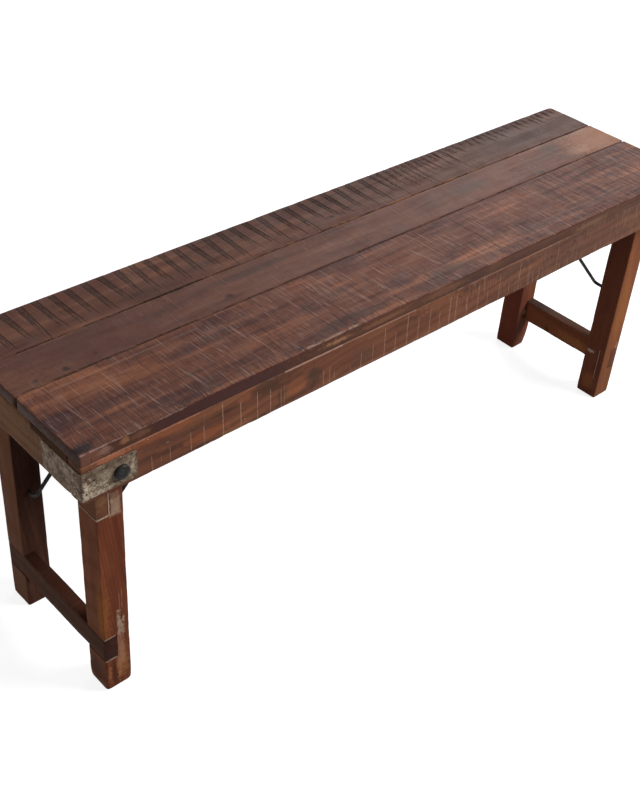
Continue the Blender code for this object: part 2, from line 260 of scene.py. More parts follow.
def makeBarGroup():
    given, out = newGroup("paintBar", {
        "Position": "Vector", "Centre": "Vector", "Half Size": "Vector", "Softness": 0.0005, "Ragged": 0,
        "Flaking": 0, "Flake Scale": 330, "Flake Position": "Vector",
    })
    parts = split(abs(given["Position"] - given["Centre"]) - given["Half Size"])
    away = larger(larger(parts["X"], parts["Y"]), parts["Z"])
    edge = away + given["Ragged"] * given["Softness"]
    inside = remap(edge, given["Softness"], given["Softness"] * -1)
    flakes = noise(given["Flake Position"], given["Flake Scale"], 8, 0.72)
    kept = remap(flakes, given["Flaking"] - 0.05, given["Flaking"])
    plug(out["Mask"], inside * kept)


def makeFlakeGroup():
    inputs = {"Position": "Vector", "Scale": 150, "Coverage": 0.5}
    given, out = newGroup("flakingCoat", inputs, ("Mask", "Height"))
    position = given["Position"]
    broad = noise(position, given["Scale"], 6, 0.68)
    cells = put(position.tree, "TexVoronoi", {"Vector": position, "Scale": given["Scale"] * 3})["Distance"]
    mixed = broad + (cells - 0.5) * 0.16
    edge = 1 - given["Coverage"]
    mask = remap(mixed, edge - 0.03, edge + 0.03)
    plug(out["Mask"], mask)
    plug(out["Height"], mask + broad * 0.5)


def makeRimGroup():
    given, out = newGroup("rimWear", {"Position": "Vector", "From": 0.52, "To": 0.6})
    pointed = put(given["Position"].tree, "NewGeometry")["Pointiness"]
    rim = remap(pointed, given["From"], given["To"])
    broken = remap(noise(given["Position"], 240, 4, 0.6), 0.4, 0.6)
    plug(out["Mask"], rim * broken)


def makeDustGroup():
    given, out = newGroup("restingDust", {"Position": "Vector", "Facing": "Vector", "Amount": 0.3})
    up = split(given["Facing"])["Z"]
    drifts = remap(noise(given["Position"], 26, 5, 0.65), 0.35, 0.75)
    dust = remap(up, 0.2, 1) * drifts
    plug(out["Mask"], dust * given["Amount"])


makeGrainGroup()
makeSawGroup()
makeArrisGroup()
makeSpotGroup()
makeStrokeGroup()
makeBarGroup()
makeFlakeGroup()
makeRimGroup()
makeDustGroup()
print("finishes: node groups ready")


ends = ("left", "right")
sides = ("front", "rear")
leftward, frontward, upward = (-1, 0, 0), (0, -1, 0), (0, 0, 1)

# The marks that a finish carries. Those on the seat's top and the bench's front side lie at these places.
seatTop = 0.465
frontSide = -0.1515


def spot(at, size, tone, amount, soft=0.6, ragged=1.5, rings=0.0):
    # An egg-shaped stain, by its middle and its reach each way.
    return {"at": at, "size": size, "tone": tone, "amount": amount,
            "soft": soft, "ragged": ragged, "rings": rings}


def topSpot(x, y, long, wide, tone, amount, deep=0.01, **more):
    return spot((x, y, seatTop), (long, wide, deep), tone, amount, **more)


def sideSpot(x, z, long, tall, tone, amount, deep=0.01, **more):
    return spot((x, frontSide, z), (long, deep, tall), tone, amount, **more)


def bar(at, size, tone, amount, soft=0.0005, ragged=3, flaking=0.42, flakes=330):
    # A patch of paint, filler or dirt with straight sides, by its middle and its half size.
    return {"at": at, "size": size, "tone": tone, "amount": amount,
            "soft": soft, "ragged": ragged, "flaking": flaking, "flakes": flakes}


def scratches(spacing, length, tilt, threshold, patchScale, patchFrom, tone, amount, relief,
              face=None, zone=None):
    # Saw marks across the grain, on one face or in one zone where that is given.
    group = {"Spacing": spacing, "Length": length, "Tilt": tilt, "Threshold": threshold,
             "Patch Scale": patchScale, "Patch From": patchFrom}
    return {"group": group, "tone": tone, "amount": amount, "relief": relief, "face": face, "zone": zone}


def topScratches(*values, zone=None):
    return scratches(*values, face=upward, zone=zone)


# What a wood finish is made from. A piece's own dictionary overrides any of these.
plainWood = {
    "grain": "X", "lean": (0, 0, 0), "shift": (0, 0, -0.49),
    "light": (0.165, 0.066, 0.036), "middle": (0.105, 0.039, 0.024), "dark": (0.045, 0.019, 0.016),
    "streakScale": 62, "ringScale": 38, "rings": 0.45, "figure": 0.02,
    "mood": (0.045, 0.024, 0.024), "moodScale": (3, 12, 12), "moodFrom": 0.5, "moodAmount": 0.55,
    "marks": [], "spots": [], "bars": [], "faces": [], "strokes": [], "strokeTone": (0.4, 0.24, 0.17),
    "flakeStretch": 0.3, "edgeTone": (0.16, 0.095, 0.07), "edgeReach": 0.0016, "edgeAmount": 0.45,
    "endTone": (0.05, 0.03, 0.02), "endAmount": 0.55, "rawTone": (0.12, 0.075, 0.05), "rawAmount": 0.0,
    "dustTone": (0.2, 0.16, 0.14), "dust": 0.1, "roughness": (0.4, 0.6), "gloss": 0.045, "relief": 0.5,
}
grainTurns = {"X": (0, 0, 0), "Y": (0, 0, -pi / 2), "Z": (0, pi / 2, 0)}
grainAxes = {"X": (1, 0, 0), "Y": (0, 1, 0), "Z": (0, 0, 1)}


def startMaterial(name):
    material = bpy.data.materials.new(name)
    material.use_nodes = True
    tree = material.node_tree
    return material, tree, tree.nodes["Principled BSDF"].inputs, put(tree, "TexCoord")


def addBump(tree, inputs, height, strength, distance):
    bump = put(tree, "Bump", {"Strength": strength, "Distance": distance, "Height": height})
    plug(inputs["Normal"], bump[0])


def stainMask(position, centre, size, soft, ragged, **more):
    wires = {"Position": position, "Centre": centre, "Radius": size, "Softness": soft, "Ragged": ragged}
    return useGroup("stainSpot", {**wires, **more})["Mask"]


def flakesOn(position, scale, coverage):
    return useGroup("flakingCoat", {"Position": position, "Scale": scale, "Coverage": coverage})


def rimMask(position, rimTo):
    return useGroup("rimWear", {"Position": position, "From": 0.53, "To": rimTo})["Mask"]


def dustMask(position, facing, amount):
    return useGroup("restingDust", {"Position": position, "Facing": facing, "Amount": amount})["Mask"]


def addSpots(colour, position, ragged, spots):
    for stain in spots:
        rag = ragged * stain["ragged"]
        mask = stainMask(position, stain["at"], stain["size"], stain["soft"], rag, Rings=stain["rings"])
        colour = blend(mask * stain["amount"], colour, stain["tone"])
    return colour


def addBars(colour, position, flaked, ragged, bars):
    # Gives the colour with the patches on it, and where any of them lies.
    covered = 0.0
    for patch in bars:
        mask = useGroup("paintBar", {
            "Position": position, "Centre": patch["at"], "Half Size": patch["size"],
            "Softness": patch["soft"], "Ragged": ragged * patch["ragged"], "Flaking": patch["flaking"],
            "Flake Scale": patch["flakes"], "Flake Position": flaked,
        })["Mask"]
        colour = blend(mask * patch["amount"], colour, patch["tone"])
        covered = larger(mask, covered)
    return colour, covered


def addScratches(colour, height, along, position, facing, ragged, marks):
    for mark in marks:
        scratch = useGroup("sawMarks", {"Position": along, **mark["group"]})["Mask"]
        if mark["face"]:
            scratch = scratch * remap(dot(facing, mark["face"]), 0.5, 0.8)
        if mark["zone"]:
            scratch = scratch * stainMask(position, *mark["zone"], 0.7, ragged)
        colour = blend(scratch * mark["amount"], colour, mark["tone"])
        height = height + scratch * mark["relief"]
    return colour, height


def addKerfs(colour, height, along, position, ragged, rearY, kerfs):
    # The mesh carries the place along the row of saw kerf groups, and how far in each one reaches.
    tree = position.tree
    place = put(tree, "Attribute", attribute_name="kerfPlace")["Fac"]
    reach = put(tree, "Attribute", attribute_name="kerfReach")["Fac"]
    inwards = rearY - split(position)["Y"]
    share = inwards / reach
    narrowing = larger(1 - share * kerfs["narrowing"], 0.2)
    away = (reckon("FRACT", place) - 0.5) / narrowing
    ownNoise = put(tree, "TexWhiteNoise", {"W": reckon("FLOOR", place)}, noise_dimensions="1D")
    own = put(tree, "SeparateColor", {0: ownNoise["Color"]})
    total = 0.0
    for index, (offset, width, strength, length) in enumerate(kerfs["lines"]):
        line = remap(abs(away - offset), width, width * 0.45, 0, strength)
        stop = own[index % 3] * 0.35 + (length - 0.2)
        line = line * remap(share, stop, stop - 0.12)
        total = larger(line, total)
    starts = remap(inwards + ragged * 0.006, 0.001, 0.004)
    broken = remap(ragged + 0.5, 0.3, 0.46, 0.45, 1)
    kerf = total * starts * broken
    fade = remap(split(position)["X"], kerfs["fadeFrom"], kerfs["fadeTo"], 1, kerfs["faded"])
    kerf = kerf * fade
    band = remap(abs(away), kerfs["band"], kerfs["band"] * 0.7, 0, kerfs["shade"])
    band = band * (starts * remap(share, 0.85, 0.6)) * fade
    hatch = remap(noise(along * (1, 0.06, 0.06), 900, 2), 0.35, 0.6)
    colour = blend(band * hatch, colour, kerfs["tone"])
    colour = blend(kerf, colour, kerfs["tone"])
    return colour, height - kerf * 1.5


def addStrokes(colour, height, position, facing, strokes, tone):
    stroked = 0.0
    for across, top, strength in strokes:
        stroke = useGroup("sawStroke", {"Position": position, "Across": across, "Top": top})["Mask"]
        stroked = larger(stroke * strength, stroked)
    broken = remap(noise(position, 330, 4, 0.6), 0.36, 0.56, 0.25, 1)
    broken = broken * remap(dot(facing, frontward), 0.3, 0.7)
    stroked = stroked * broken
    return blend(stroked, colour, tone), height + stroked * 0.5


def woodMaterial(name, low, high, look):
    look = {**plainWood, **look}
    material, tree, inputs, coords = startMaterial(name)
    position = coords["Object"]
    facing = coords["Normal"]
    turned = Vector(grainTurns[look["grain"]]) + Vector(look["lean"])
    wires = {"Vector": position, "Location": look["shift"], "Rotation": turned}
    along = put(tree, "Mapping", wires)[0]
    grain = useGroup("reclaimedGrain", {
        "Position": along, "Streak Scale": look["streakScale"], "Ring Scale": look["ringScale"],
        "Ring Strength": look["rings"], "Figure": look["figure"],
        "Light": look["light"], "Middle": look["middle"], "Dark": look["dark"],
    })
    mood = noise(along * look["moodScale"], 1, 4, 0.6)
    mood = remap(mood, look["moodFrom"], look["moodFrom"] + 0.2, 0, look["moodAmount"])
    colour = blend(mood, grain["Color"], look["mood"])
    height = grain["Height"]
    ragged = raggedness(position)

    # Raw wood underneath, and end grain across the ends.
    if look["rawAmount"]:
        under = remap(split(facing)["Z"], -0.5, -0.9, 0, look["rawAmount"])
        colour = blend(under, colour, look["rawTone"])
    endOn = remap(abs(dot(facing, grainAxes[look["grain"]])), 0.6, 0.9, 0, look["endAmount"])
    colour = blend(endOn, colour, look["endTone"])
    for way, tone, amount in look["faces"]:
        colour = blend(remap(dot(facing, way), 0.5, 0.9, 0, amount), colour, tone)

    colour, height = addScratches(colour, height, along, position, facing, ragged, look["marks"])
    if look.get("kerfs"):
        colour, height = addKerfs(colour, height, along, position, ragged, high[1], look["kerfs"])
    colour = addSpots(colour, position, ragged, look["spots"])
    if look["strokes"]:
        colour, height = addStrokes(colour, height, position, facing, look["strokes"], look["strokeTone"])

    worn = useGroup("arrisWear", {
        "Position": position, "Low": low, "High": high, "Reach": look["edgeReach"], "Breakup": 0.6,
    })["Mask"]
    colour = blend(worn * look["edgeAmount"], colour, look["edgeTone"])

    flaked = along * (look["flakeStretch"], 1, 1)
    colour, painted = addBars(colour, position, flaked, ragged, look["bars"])

    dust = dustMask(position, facing, look["dust"])
    plug(inputs["Base Color"], blend(dust, colour, look["dustTone"]))
    smooth, dull = look["roughness"]
    sheen = remap(grain["Height"] + dust, 0.1, 0.75, dull, smooth)
    if look["bars"]:
        sheen = larger(sheen, painted * 0.8)
    plug(inputs["Roughness"], sheen)
    inputs["Specular IOR Level"].default_value = look["gloss"]
    addBump(tree, inputs, height, look["relief"], 0.0006)
    return material


def strapMaterial(name, look):
    material, tree, inputs, coords = startMaterial(name)
    position = coords["Object"]
    cloudy = noise(position, look["cloudScale"], 5, 0.65)
    colour = blend(remap(cloudy, 0.4, 0.6), look["iron"], look["rust"])
    coat = flakesOn(position, look["coatScale"], look["coatCover"])
    tint = blend(remap(noise(position, 60, 3), 0.35, 0.65), look["coat"], look["coatGreen"])
    colour = blend(coat["Mask"] * look["coatAmount"], colour, tint)
    ragged = raggedness(position)
    zone = stainMask(position, look["creamAt"], look["creamSize"], 0.9, ragged * 1.5)
    paint = flakesOn(position, look["creamScale"], remap(zone, 0, 1, 0.38, 0.5))
    colour = blend(paint["Mask"] * 0.8, colour, look["cream"])
    colour = addSpots(colour, position, ragged, look["spots"])
    rim = rimMask(position, 0.62)
    plug(inputs["Base Color"], blend(rim * 0.5, colour, look["rimTone"]))
    covered = larger(coat["Mask"], paint["Mask"])
    plug(inputs["Metallic"], remap(covered, 0, 1, 0.25, 0.03))
    plug(inputs["Roughness"], remap(cloudy, 0.3, 0.7, 0.55, 0.8))
    inputs["Specular IOR Level"].default_value = look["gloss"]
    addBump(tree, inputs, coat["Height"] + paint["Height"], 0.7, 0.0004)
    return material


def ironMaterial(name, look):
    material, tree, inputs, coords = startMaterial(name)
    position = coords["Object"]
    scale = flakesOn(position, look["scaleSize"], look["scaleCover"])
    colour = blend(scale["Mask"], look["bare"], look["black"])
    rusty = remap(noise(position, look["rustScale"], 5, 0.7), 0.56, 0.7, 0, look["rustAmount"])
    colour = blend(rusty, colour, look["rust"])
    rim = rimMask(position, 0.6)
    colour = blend(rim * look["rimAmount"], colour, look["rimTone"])
    dust = dustMask(position, coords["Normal"], look["dust"])
    plug(inputs["Base Color"], blend(dust, colour, look["dustTone"]))
    dulled = larger(rusty, dust)
    plug(inputs["Metallic"], remap(dulled, 0, 0.5, 0.75, 0.1))
    plug(inputs["Roughness"], remap(scale["Height"] + dulled, 0, 1.6, 0.38, 0.7))
    addBump(tree, inputs, scale["Height"], 0.5, 0.0003)
    return material


# Shapes: boards are lofted from rings of points, then weathered inwards.

# How many points round off a board's long corners, and its ends.
cornerPoints = 4
endPoints = 5
# Scales are waves per metre across the grain. A nick or pit is noise above its start.
weathering = {
    "alongGrain": 0.3, "waveScale": 45, "rippleScale": 160, "ripple": 0.5, "nickScale": 130,
    "nickFrom": 0.62, "nickSpan": 0.38, "pitScale": 420, "pitFrom": 0.66, "pitSpan": 0.34, "pit": 0.6,
    "dentSizes": (0.0015, 0.005), "dentDepths": (0.3, 1), "dentStretch": 0.7,
}


def softNoise(points, frequency, seed):
    cells = points * np.asarray(frequency, float)
    corner = np.floor(cells).astype(np.int64)
    part = cells - corner
    part = part * part * (3 - 2 * part)
    total = np.zeros(len(points))
    for step in np.ndindex(2, 2, 2):
        cell = corner + step
        key = cell[:, 0] * 73856093 ^ cell[:, 1] * 19349663 ^ cell[:, 2] * 83492791 ^ (seed + 1) * 15485863
        key = ((key ^ (key >> 13)) * 1274126177) & 0xFFFFFFFF
        value = ((key ^ (key >> 16)) & 0xFFFF) / 0xFFFF
        total += value * np.prod(np.where(step, part, 1 - part), axis=1)
    return total


def meshFromGrid(name, rows):
    # rows is stations by ring points by 3, and the ring runs anticlockwise seen from the far end.
    stations, around = rows.shape[:2]
    start = np.arange(stations - 1)[:, None] * around + np.arange(around)[None, :]
    following = np.arange(stations - 1)[:, None] * around + (np.arange(around)[None, :] + 1) % around
    quads = np.stack([start, following, following + around, start + around], axis=-1).reshape(-1, 4)
    faces = quads.tolist()
    faces.append(list(range(around - 1, -1, -1)))
    faces.append(list(range((stations - 1) * around, stations * around)))
    mesh = bpy.data.meshes.new(name)
    mesh.from_pydata(rows.reshape(-1, 3).tolist(), [], faces)
    mesh.update()
    return mesh


def roundedRing(halfA, halfB, edge, spacing):
    # Points round a rectangle with rounded corners, as shares of its half sizes. spacing is one step for
    # each side: low B, high A, high B, low A.
    arcs = []
    for side, (signA, signB) in enumerate(((-1, -1), (1, -1), (1, 1), (-1, 1))):
        centreA, centreB = signA * (halfA - edge), signB * (halfB - edge)
        angles = [turn + pi + side * pi / 2 for turn in np.linspace(0, pi / 2, cornerPoints)]
        arcs.append([(centreA + edge * cos(angle), centreB + edge * sin(angle)) for angle in angles])
    ring = []
    for side, arc in enumerate(arcs):
        ring += arc
        start = Vector(arc[-1])
        end = Vector(arcs[(side + 1) % 4][0])
        steps = max(1, round((end - start).length / spacing[side]))
        ring += [tuple(start.lerp(end, i / steps)) for i in range(1, steps)]
    return np.array(ring) / (halfA, halfB)


def softenedRing(ring, halfA, halfB, radius):
    # The same points drawn in to a larger corner radius.
    points = ring * (halfA, halfB)
    core = np.array([halfA - radius, halfB - radius])
    out = np.abs(points) - core
    corner = (out > 0).all(axis=1)
    shrink = np.where(corner, radius / np.maximum(np.linalg.norm(out, axis=1), 1e-9), 1)
    drawn = np.sign(points) * (core + out * np.minimum(shrink, 1)[:, None])
    return np.where(corner[:, None], drawn, points) / (halfA, halfB)


def loftBoard(name, low, high, axis, edge, step, spacing, endEdge=None, profile=None, foot=None):
    # profile(along) gives the half sizes and the centre there, for a piece that isn't straight. foot is how
    # much rounder the long edges grow at the low end, and over what length.
    endEdge = endEdge or edge
    a = (axis + 1) % 3
    b = (axis + 2) % 3
    half = (np.array(high) - np.array(low)) / 2
    centre = (np.array(high) + np.array(low)) / 2
    ring = roundedRing(half[a], half[b], edge, spacing)
    softRing = softenedRing(ring, half[a], half[b], foot[0]) if foot else ring
    turns = np.linspace(0, pi / 2, endPoints)
    near = [(low[axis] + endEdge * (1 - cos(t)), endEdge * (1 - sin(t))) for t in turns]
    far = [(high[axis] - endEdge * (1 - cos(t)), endEdge * (1 - sin(t))) for t in turns[::-1]]
    steps = max(1, round((high[axis] - low[axis] - 2 * endEdge) / step))
    middle = np.linspace(low[axis] + endEdge, high[axis] - endEdge, steps + 1)[1:-1]
    stations = near + [(along, 0) for along in middle] + far
    rows = np.zeros((len(stations), len(ring), 3))
    for row, (along, inset) in zip(rows, stations):
        halfA, halfB, centreA, centreB = half[a], half[b], centre[a], centre[b]
        if profile:
            halfA, halfB, centreA, centreB = profile(along, halfA, halfB, centreA, centreB)
        soften = max(0, 1 - (along - low[axis]) / foot[1]) ** 2 if foot else 0
        shape = ring + (softRing - ring) * soften
        row[:, axis] = along
        row[:, a] = centreA + shape[:, 0] * (halfA - inset)
        row[:, b] = centreB + shape[:, 1] * (halfB - inset)
    return meshFromGrid(name, rows)


def readVectors(collection, name):
    vectors = np.zeros(len(collection) * 3)
    collection.foreach_get(name, vectors)
    return vectors.reshape(-1, 3)


def readPoints(mesh):
    return readVectors(mesh.vertices, "co")


def readNormals(mesh):
    return readVectors(mesh.vertex_normals, "vector")


def writePoints(mesh, points):
    mesh.vertices.foreach_set("co", points.astype(np.float32).ravel())
    mesh.update()


def arrisDistance(points, low, high):
    near = np.sort(np.minimum(points - np.array(low), np.array(high) - points), axis=1)
    return np.maximum(near[:, 1], 0)


def weather(mesh, low, high, axis, wear, seed):
    # Wind, dents and chips only take wood away, so a board never grows into its neighbour.
    points = readPoints(mesh)
    normals = readNormals(mesh)
    how = weathering
    long = np.ones(3)
    long[axis] = how["alongGrain"]
    near = arrisDistance(points, low, high)
    depth = wear["wave"] * softNoise(points, long * how["waveScale"], seed)
    depth += wear["wave"] * how["ripple"] * softNoise(points, long * how["rippleScale"], seed + 1)
    close = np.clip(1 - near / wear["reach"], 0, 1) ** 2
    nick = softNoise(points, long * how["nickScale"], seed + 2) - how["nickFrom"]
    nick = np.clip(nick / how["nickSpan"], 0, 1)
    pit = softNoise(points, long * how["pitScale"], seed + 3) - how["pitFrom"]
    nick += how["pit"] * np.clip(pit / how["pitSpan"], 0, 1)
    depth += close * (wear["chip"] * nick + wear["round"])
    draw = np.random.default_rng(seed)
    for dent in range(wear["dents"]):
        place = np.array(low) + draw.random(3) * (np.array(high) - np.array(low))
        side = draw.integers(0, 3)
        if side == axis:
            side = (axis + 2) % 3
        place[side] = (low, high)[draw.integers(0, 2)][side]
        size = draw.uniform(*how["dentSizes"])
        away = (points - place) * (long ** how["dentStretch"])
        depth += wear["dent"] * draw.uniform(*how["dentDepths"]) * np.exp(-(away ** 2).sum(1) / size ** 2)
    writePoints(mesh, points - normals * depth[:, None])


def agedBoard(node, axis, shape, seed, spacing=(0.004, 0.004, 0.004, 0.004), **more):
    low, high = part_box(node)
    mesh = loftBoard(node, low, high, axis, shape["edge"], shape["step"], spacing, **more)
    weather(mesh, low, high, axis, shape["wear"], seed)
    return mesh, low, high


def placeObject(name, data):
    item = bpy.data.objects.new(name, data)
    bpy.context.scene.collection.objects.link(item)
    return item


def bodyOf(node):
    bodies = frame["record"]["behaviour"]["bodies"]
    return next((body for body, members in bodies.items() if node in members), "root")


def addPiece(name, data, material, body, smoothAngle=32):
    data.materials.append(material)
    if isinstance(data, bpy.types.Mesh):
        data.shade_smooth()
        data.set_sharp_from_angle(angle=radians(smoothAngle))
    piece = placeObject(name, data)
    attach(piece, body)
    return piece


def replaceNode(node, ending, data, material, smoothAngle=32):
    piece = addPiece(node + ending, data, material, bodyOf(node), smoothAngle)
    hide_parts(node)


def cutAway(mesh, cutters):
    # Takes each cutter mesh out of the mesh, and gives the result.
    piece = placeObject("cutting", mesh)
    helpers = [placeObject("cutter", cutter) for cutter in cutters]
    for helper in helpers:
        boolean = piece.modifiers.new("cut", "BOOLEAN")
        boolean.operation = "DIFFERENCE"
        boolean.solver = "EXACT"
        boolean.object = helper
    bpy.context.view_layer.update()
    result = bpy.data.meshes.new_from_object(piece.evaluated_get(bpy.context.evaluated_depsgraph_get()))
    for helper in [piece, *helpers]:
        bpy.data.objects.remove(helper, do_unlink=True)
    return result


def boxCutter(low, high):
    rows = np.zeros((2, 4, 3))
    for row, z in zip(rows, (low[2], high[2])):
        row[:] = [(low[0], low[1], z), (high[0], low[1], z), (high[0], high[1], z), (low[0], high[1], z)]
    return meshFromGrid("boxCutter", rows)


def turnedMesh(name, profile, steps, axis, centre):
    # profile is (radius, along) pairs from the near end to the far one, about the given axis.
    a = (axis + 1) % 3
    b = (axis + 2) % 3
    angles = np.arange(steps) * 2 * pi / steps
    rows = np.zeros((len(profile), steps, 3))
    for row, (radius, along) in zip(rows, profile):
        row[:, axis] = centre[axis] + along
        row[:, a] = centre[a] + radius * np.cos(angles)
        row[:, b] = centre[b] + radius * np.sin(angles)
    return meshFromGrid(name, rows)


def pin(name, radius, reach, steps, axis, centre):
    # A round cutter that reaches as far to both sides of its centre.
    return turnedMesh(name, [(radius, -reach), (radius, reach)], steps, axis, centre)


# The seat's planks.

scratchTone = (0.27, 0.165, 0.13)
darkScratch = (0.04, 0.021, 0.02)
stainTone = (0.022, 0.018, 0.02)
grime = (0.018, 0.011, 0.009)
olive = (0.055, 0.025, 0.015)
blueNick = (0.022, 0.022, 0.03)
dimple = {"widest": 0.01, "share": 0.6, "depth": 0.0005, "reach": 0.002}
cornerRadius = 0.0018
plankEnds = (leftward, (0.029, 0.0085, 0.0035), 0.97)
plankWood = {"edgeAmount": 0.25, "rawAmount": 0.6, "faces": [plankEnds]}
hardwood = {"wave": 0.0002, "chip": 0.0013, "round": 0.0002, "reach": 0.004, "dents": 26, "dent": 0.0004}


def seamGrime(y, inwards):
    # Dirt packed along a plank's edge, beside the gap to its neighbour.
    return bar((0, y + inwards * 0.0007, 0.4645), (0.6, 0.0006, 0.0014), grime, 0.75, 0.0007, 4, 0.49, 60)


frontPlank = {
    "node": "plank_front", "step": 0.0022, "edge": 0.0013, "seed": 11, "wear": hardwood,
    "corners": {("left", "rear"): 0.0065, ("right", "rear"): 0.003},
    "spots": [
        topSpot(-0.59, -0.142, 0.02, 0.009, (0.012, 0.01, 0.013), 0.9),
        topSpot(-0.43, -0.14, 0.06, 0.007, stainTone, 0.35),
        topSpot(-0.16, -0.132, 0.1, 0.012, stainTone, 0.4),
        topSpot(0.04, -0.125, 0.06, 0.012, stainTone, 0.4),
        topSpot(0.25, -0.12, 0.07, 0.01, stainTone, 0.35),
        topSpot(0.43, -0.115, 0.05, 0.009, stainTone, 0.4),
        topSpot(-0.263, -0.144, 0.006, 0.0025, blueNick, 0.85, deep=0.003),
        topSpot(-0.238, -0.1465, 0.006, 0.002, blueNick, 0.85, deep=0.003),
        topSpot(-0.197, -0.1465, 0.005, 0.0018, blueNick, 0.8, deep=0.003),
        topSpot(-0.166, -0.144, 0.005, 0.0022, blueNick, 0.8, deep=0.003),
        # The front face: dark at the left, with tan, olive and light brown patches.
        sideSpot(-0.39, 0.456, 0.15, 0.02, (0.05, 0.019, 0.018), 0.85, soft=0.5, deep=0.004),
        sideSpot(-0.516, 0.456, 0.018, 0.007, (0.17, 0.075, 0.045), 0.6, deep=0.003),
        sideSpot(-0.583, 0.456, 0.03, 0.016, (0.18, 0.075, 0.052), 0.7, deep=0.003),
        sideSpot(-0.566, 0.457, 0.012, 0.008, (0.24, 0.135, 0.1), 0.7, deep=0.003),
        sideSpot(-0.538, 0.4585, 0.009, 0.0065, (0.27, 0.12, 0.06), 0.75, deep=0.003),
        sideSpot(-0.205, 0.4565, 0.034, 0.005, (0.34, 0.16, 0.08), 0.75, soft=0.9, deep=0.003),
        sideSpot(-0.19, 0.4508, 0.018, 0.0014, (0.05, 0.028, 0.02), 0.8, deep=0.003),
        sideSpot(-0.12, 0.456, 0.055, 0.005, (0.18, 0.08, 0.043), 0.6, deep=0.003),
        sideSpot(0.0, 0.456, 0.06, 0.008, (0.17, 0.072, 0.04), 0.5, deep=0.003),
        sideSpot(0.335, 0.4525, 0.05, 0.008, (0.17, 0.09, 0.05), 0.6, deep=0.003),
    ],
    "bars": [
        bar((-0.21, -0.1484, 0.465), (0.045, 0.0022, 0.003), (0.36, 0.25, 0.19), 0.6, 0.001, 5, 0.52, 190),
        bar((0.075, -0.1512, 0.4645), (0.525, 0.0012, 0.0014), (0.055, 0.017, 0.015), 0.7,
            0.0008, 5, 0.47, 70),
        bar((-0.584, -0.1515, 0.4495), (0.0004, 0.002, 0.005), grime, 0.85),
        bar((-0.45, -0.028, 0.465), (0.11, 0.0009, 0.004), (0.2, 0.14, 0.12), 0.45, 0.0012),
        bar((0.1445, -0.075, 0.465), (0.0011, 0.052, 0.004), (0.03, 0.015, 0.014), 0.75, 0.0009, flaking=0.3),
        bar((-0.581, -0.1512, 0.4646), (0.019, 0.0014, 0.0012), (0.34, 0.22, 0.2), 0.55, 0.0008, 5, 0.47),
        bar((-0.505, -0.1512, 0.4646), (0.056, 0.0012, 0.001), (0.38, 0.24, 0.2), 0.35, 0.0008, 6, 0.5),
        seamGrime(-0.0134, -1),
    ],
    "look": {
        "light": (0.245, 0.093, 0.048), "middle": (0.12, 0.045, 0.029), "dark": (0.042, 0.018, 0.017),
        "mood": (0.036, 0.017, 0.02), "faces": [(frontward, olive, 0.7), plankEnds],
        "shift": (0, 0.03, -0.53), "moodFrom": 0.48, "moodAmount": 0.75, "moodScale": (6, 20, 20),
        "rings": 0.14, "streakScale": 48, "roughness": (0.42, 0.62),
        "marks": [
            topScratches(0.0026, 0.05, 0.04, 0.6, 12, 0.2, scratchTone, 0.5, 0.4),
            topScratches(0.0052, 0.1, 0.02, 0.68, 8, 0.3, scratchTone, 0.52, 0.5),
            topScratches(0.0016, 0.035, -0.02, 0.58, 16, 0.35, scratchTone, 0.34, 0.3),
            topScratches(0.0028, 0.04, 0.0, 0.54, 13, 0.32, darkScratch, 0.5, -0.5),
            topScratches(0.0024, 0.03, 0.0, 0.5, 7, 0.25, darkScratch, 0.6, -0.6,
                         zone=((0, -0.146, 0.465), (0.9, 0.034, 0.05))),
            topScratches(0.0042, 0.09, 0.02, 0.52, 9, 0.2, darkScratch, 0.62, -0.5,
                         zone=((0.5, -0.08, 0.465), (0.3, 0.1, 0.05))),
            topScratches(0.0065, 0.2, 0.03, 0.56, 6, 0.25, darkScratch, 0.55, -0.5,
                         zone=((0.42, -0.07, 0.465), (0.34, 0.1, 0.05))),
        ],
    },
}
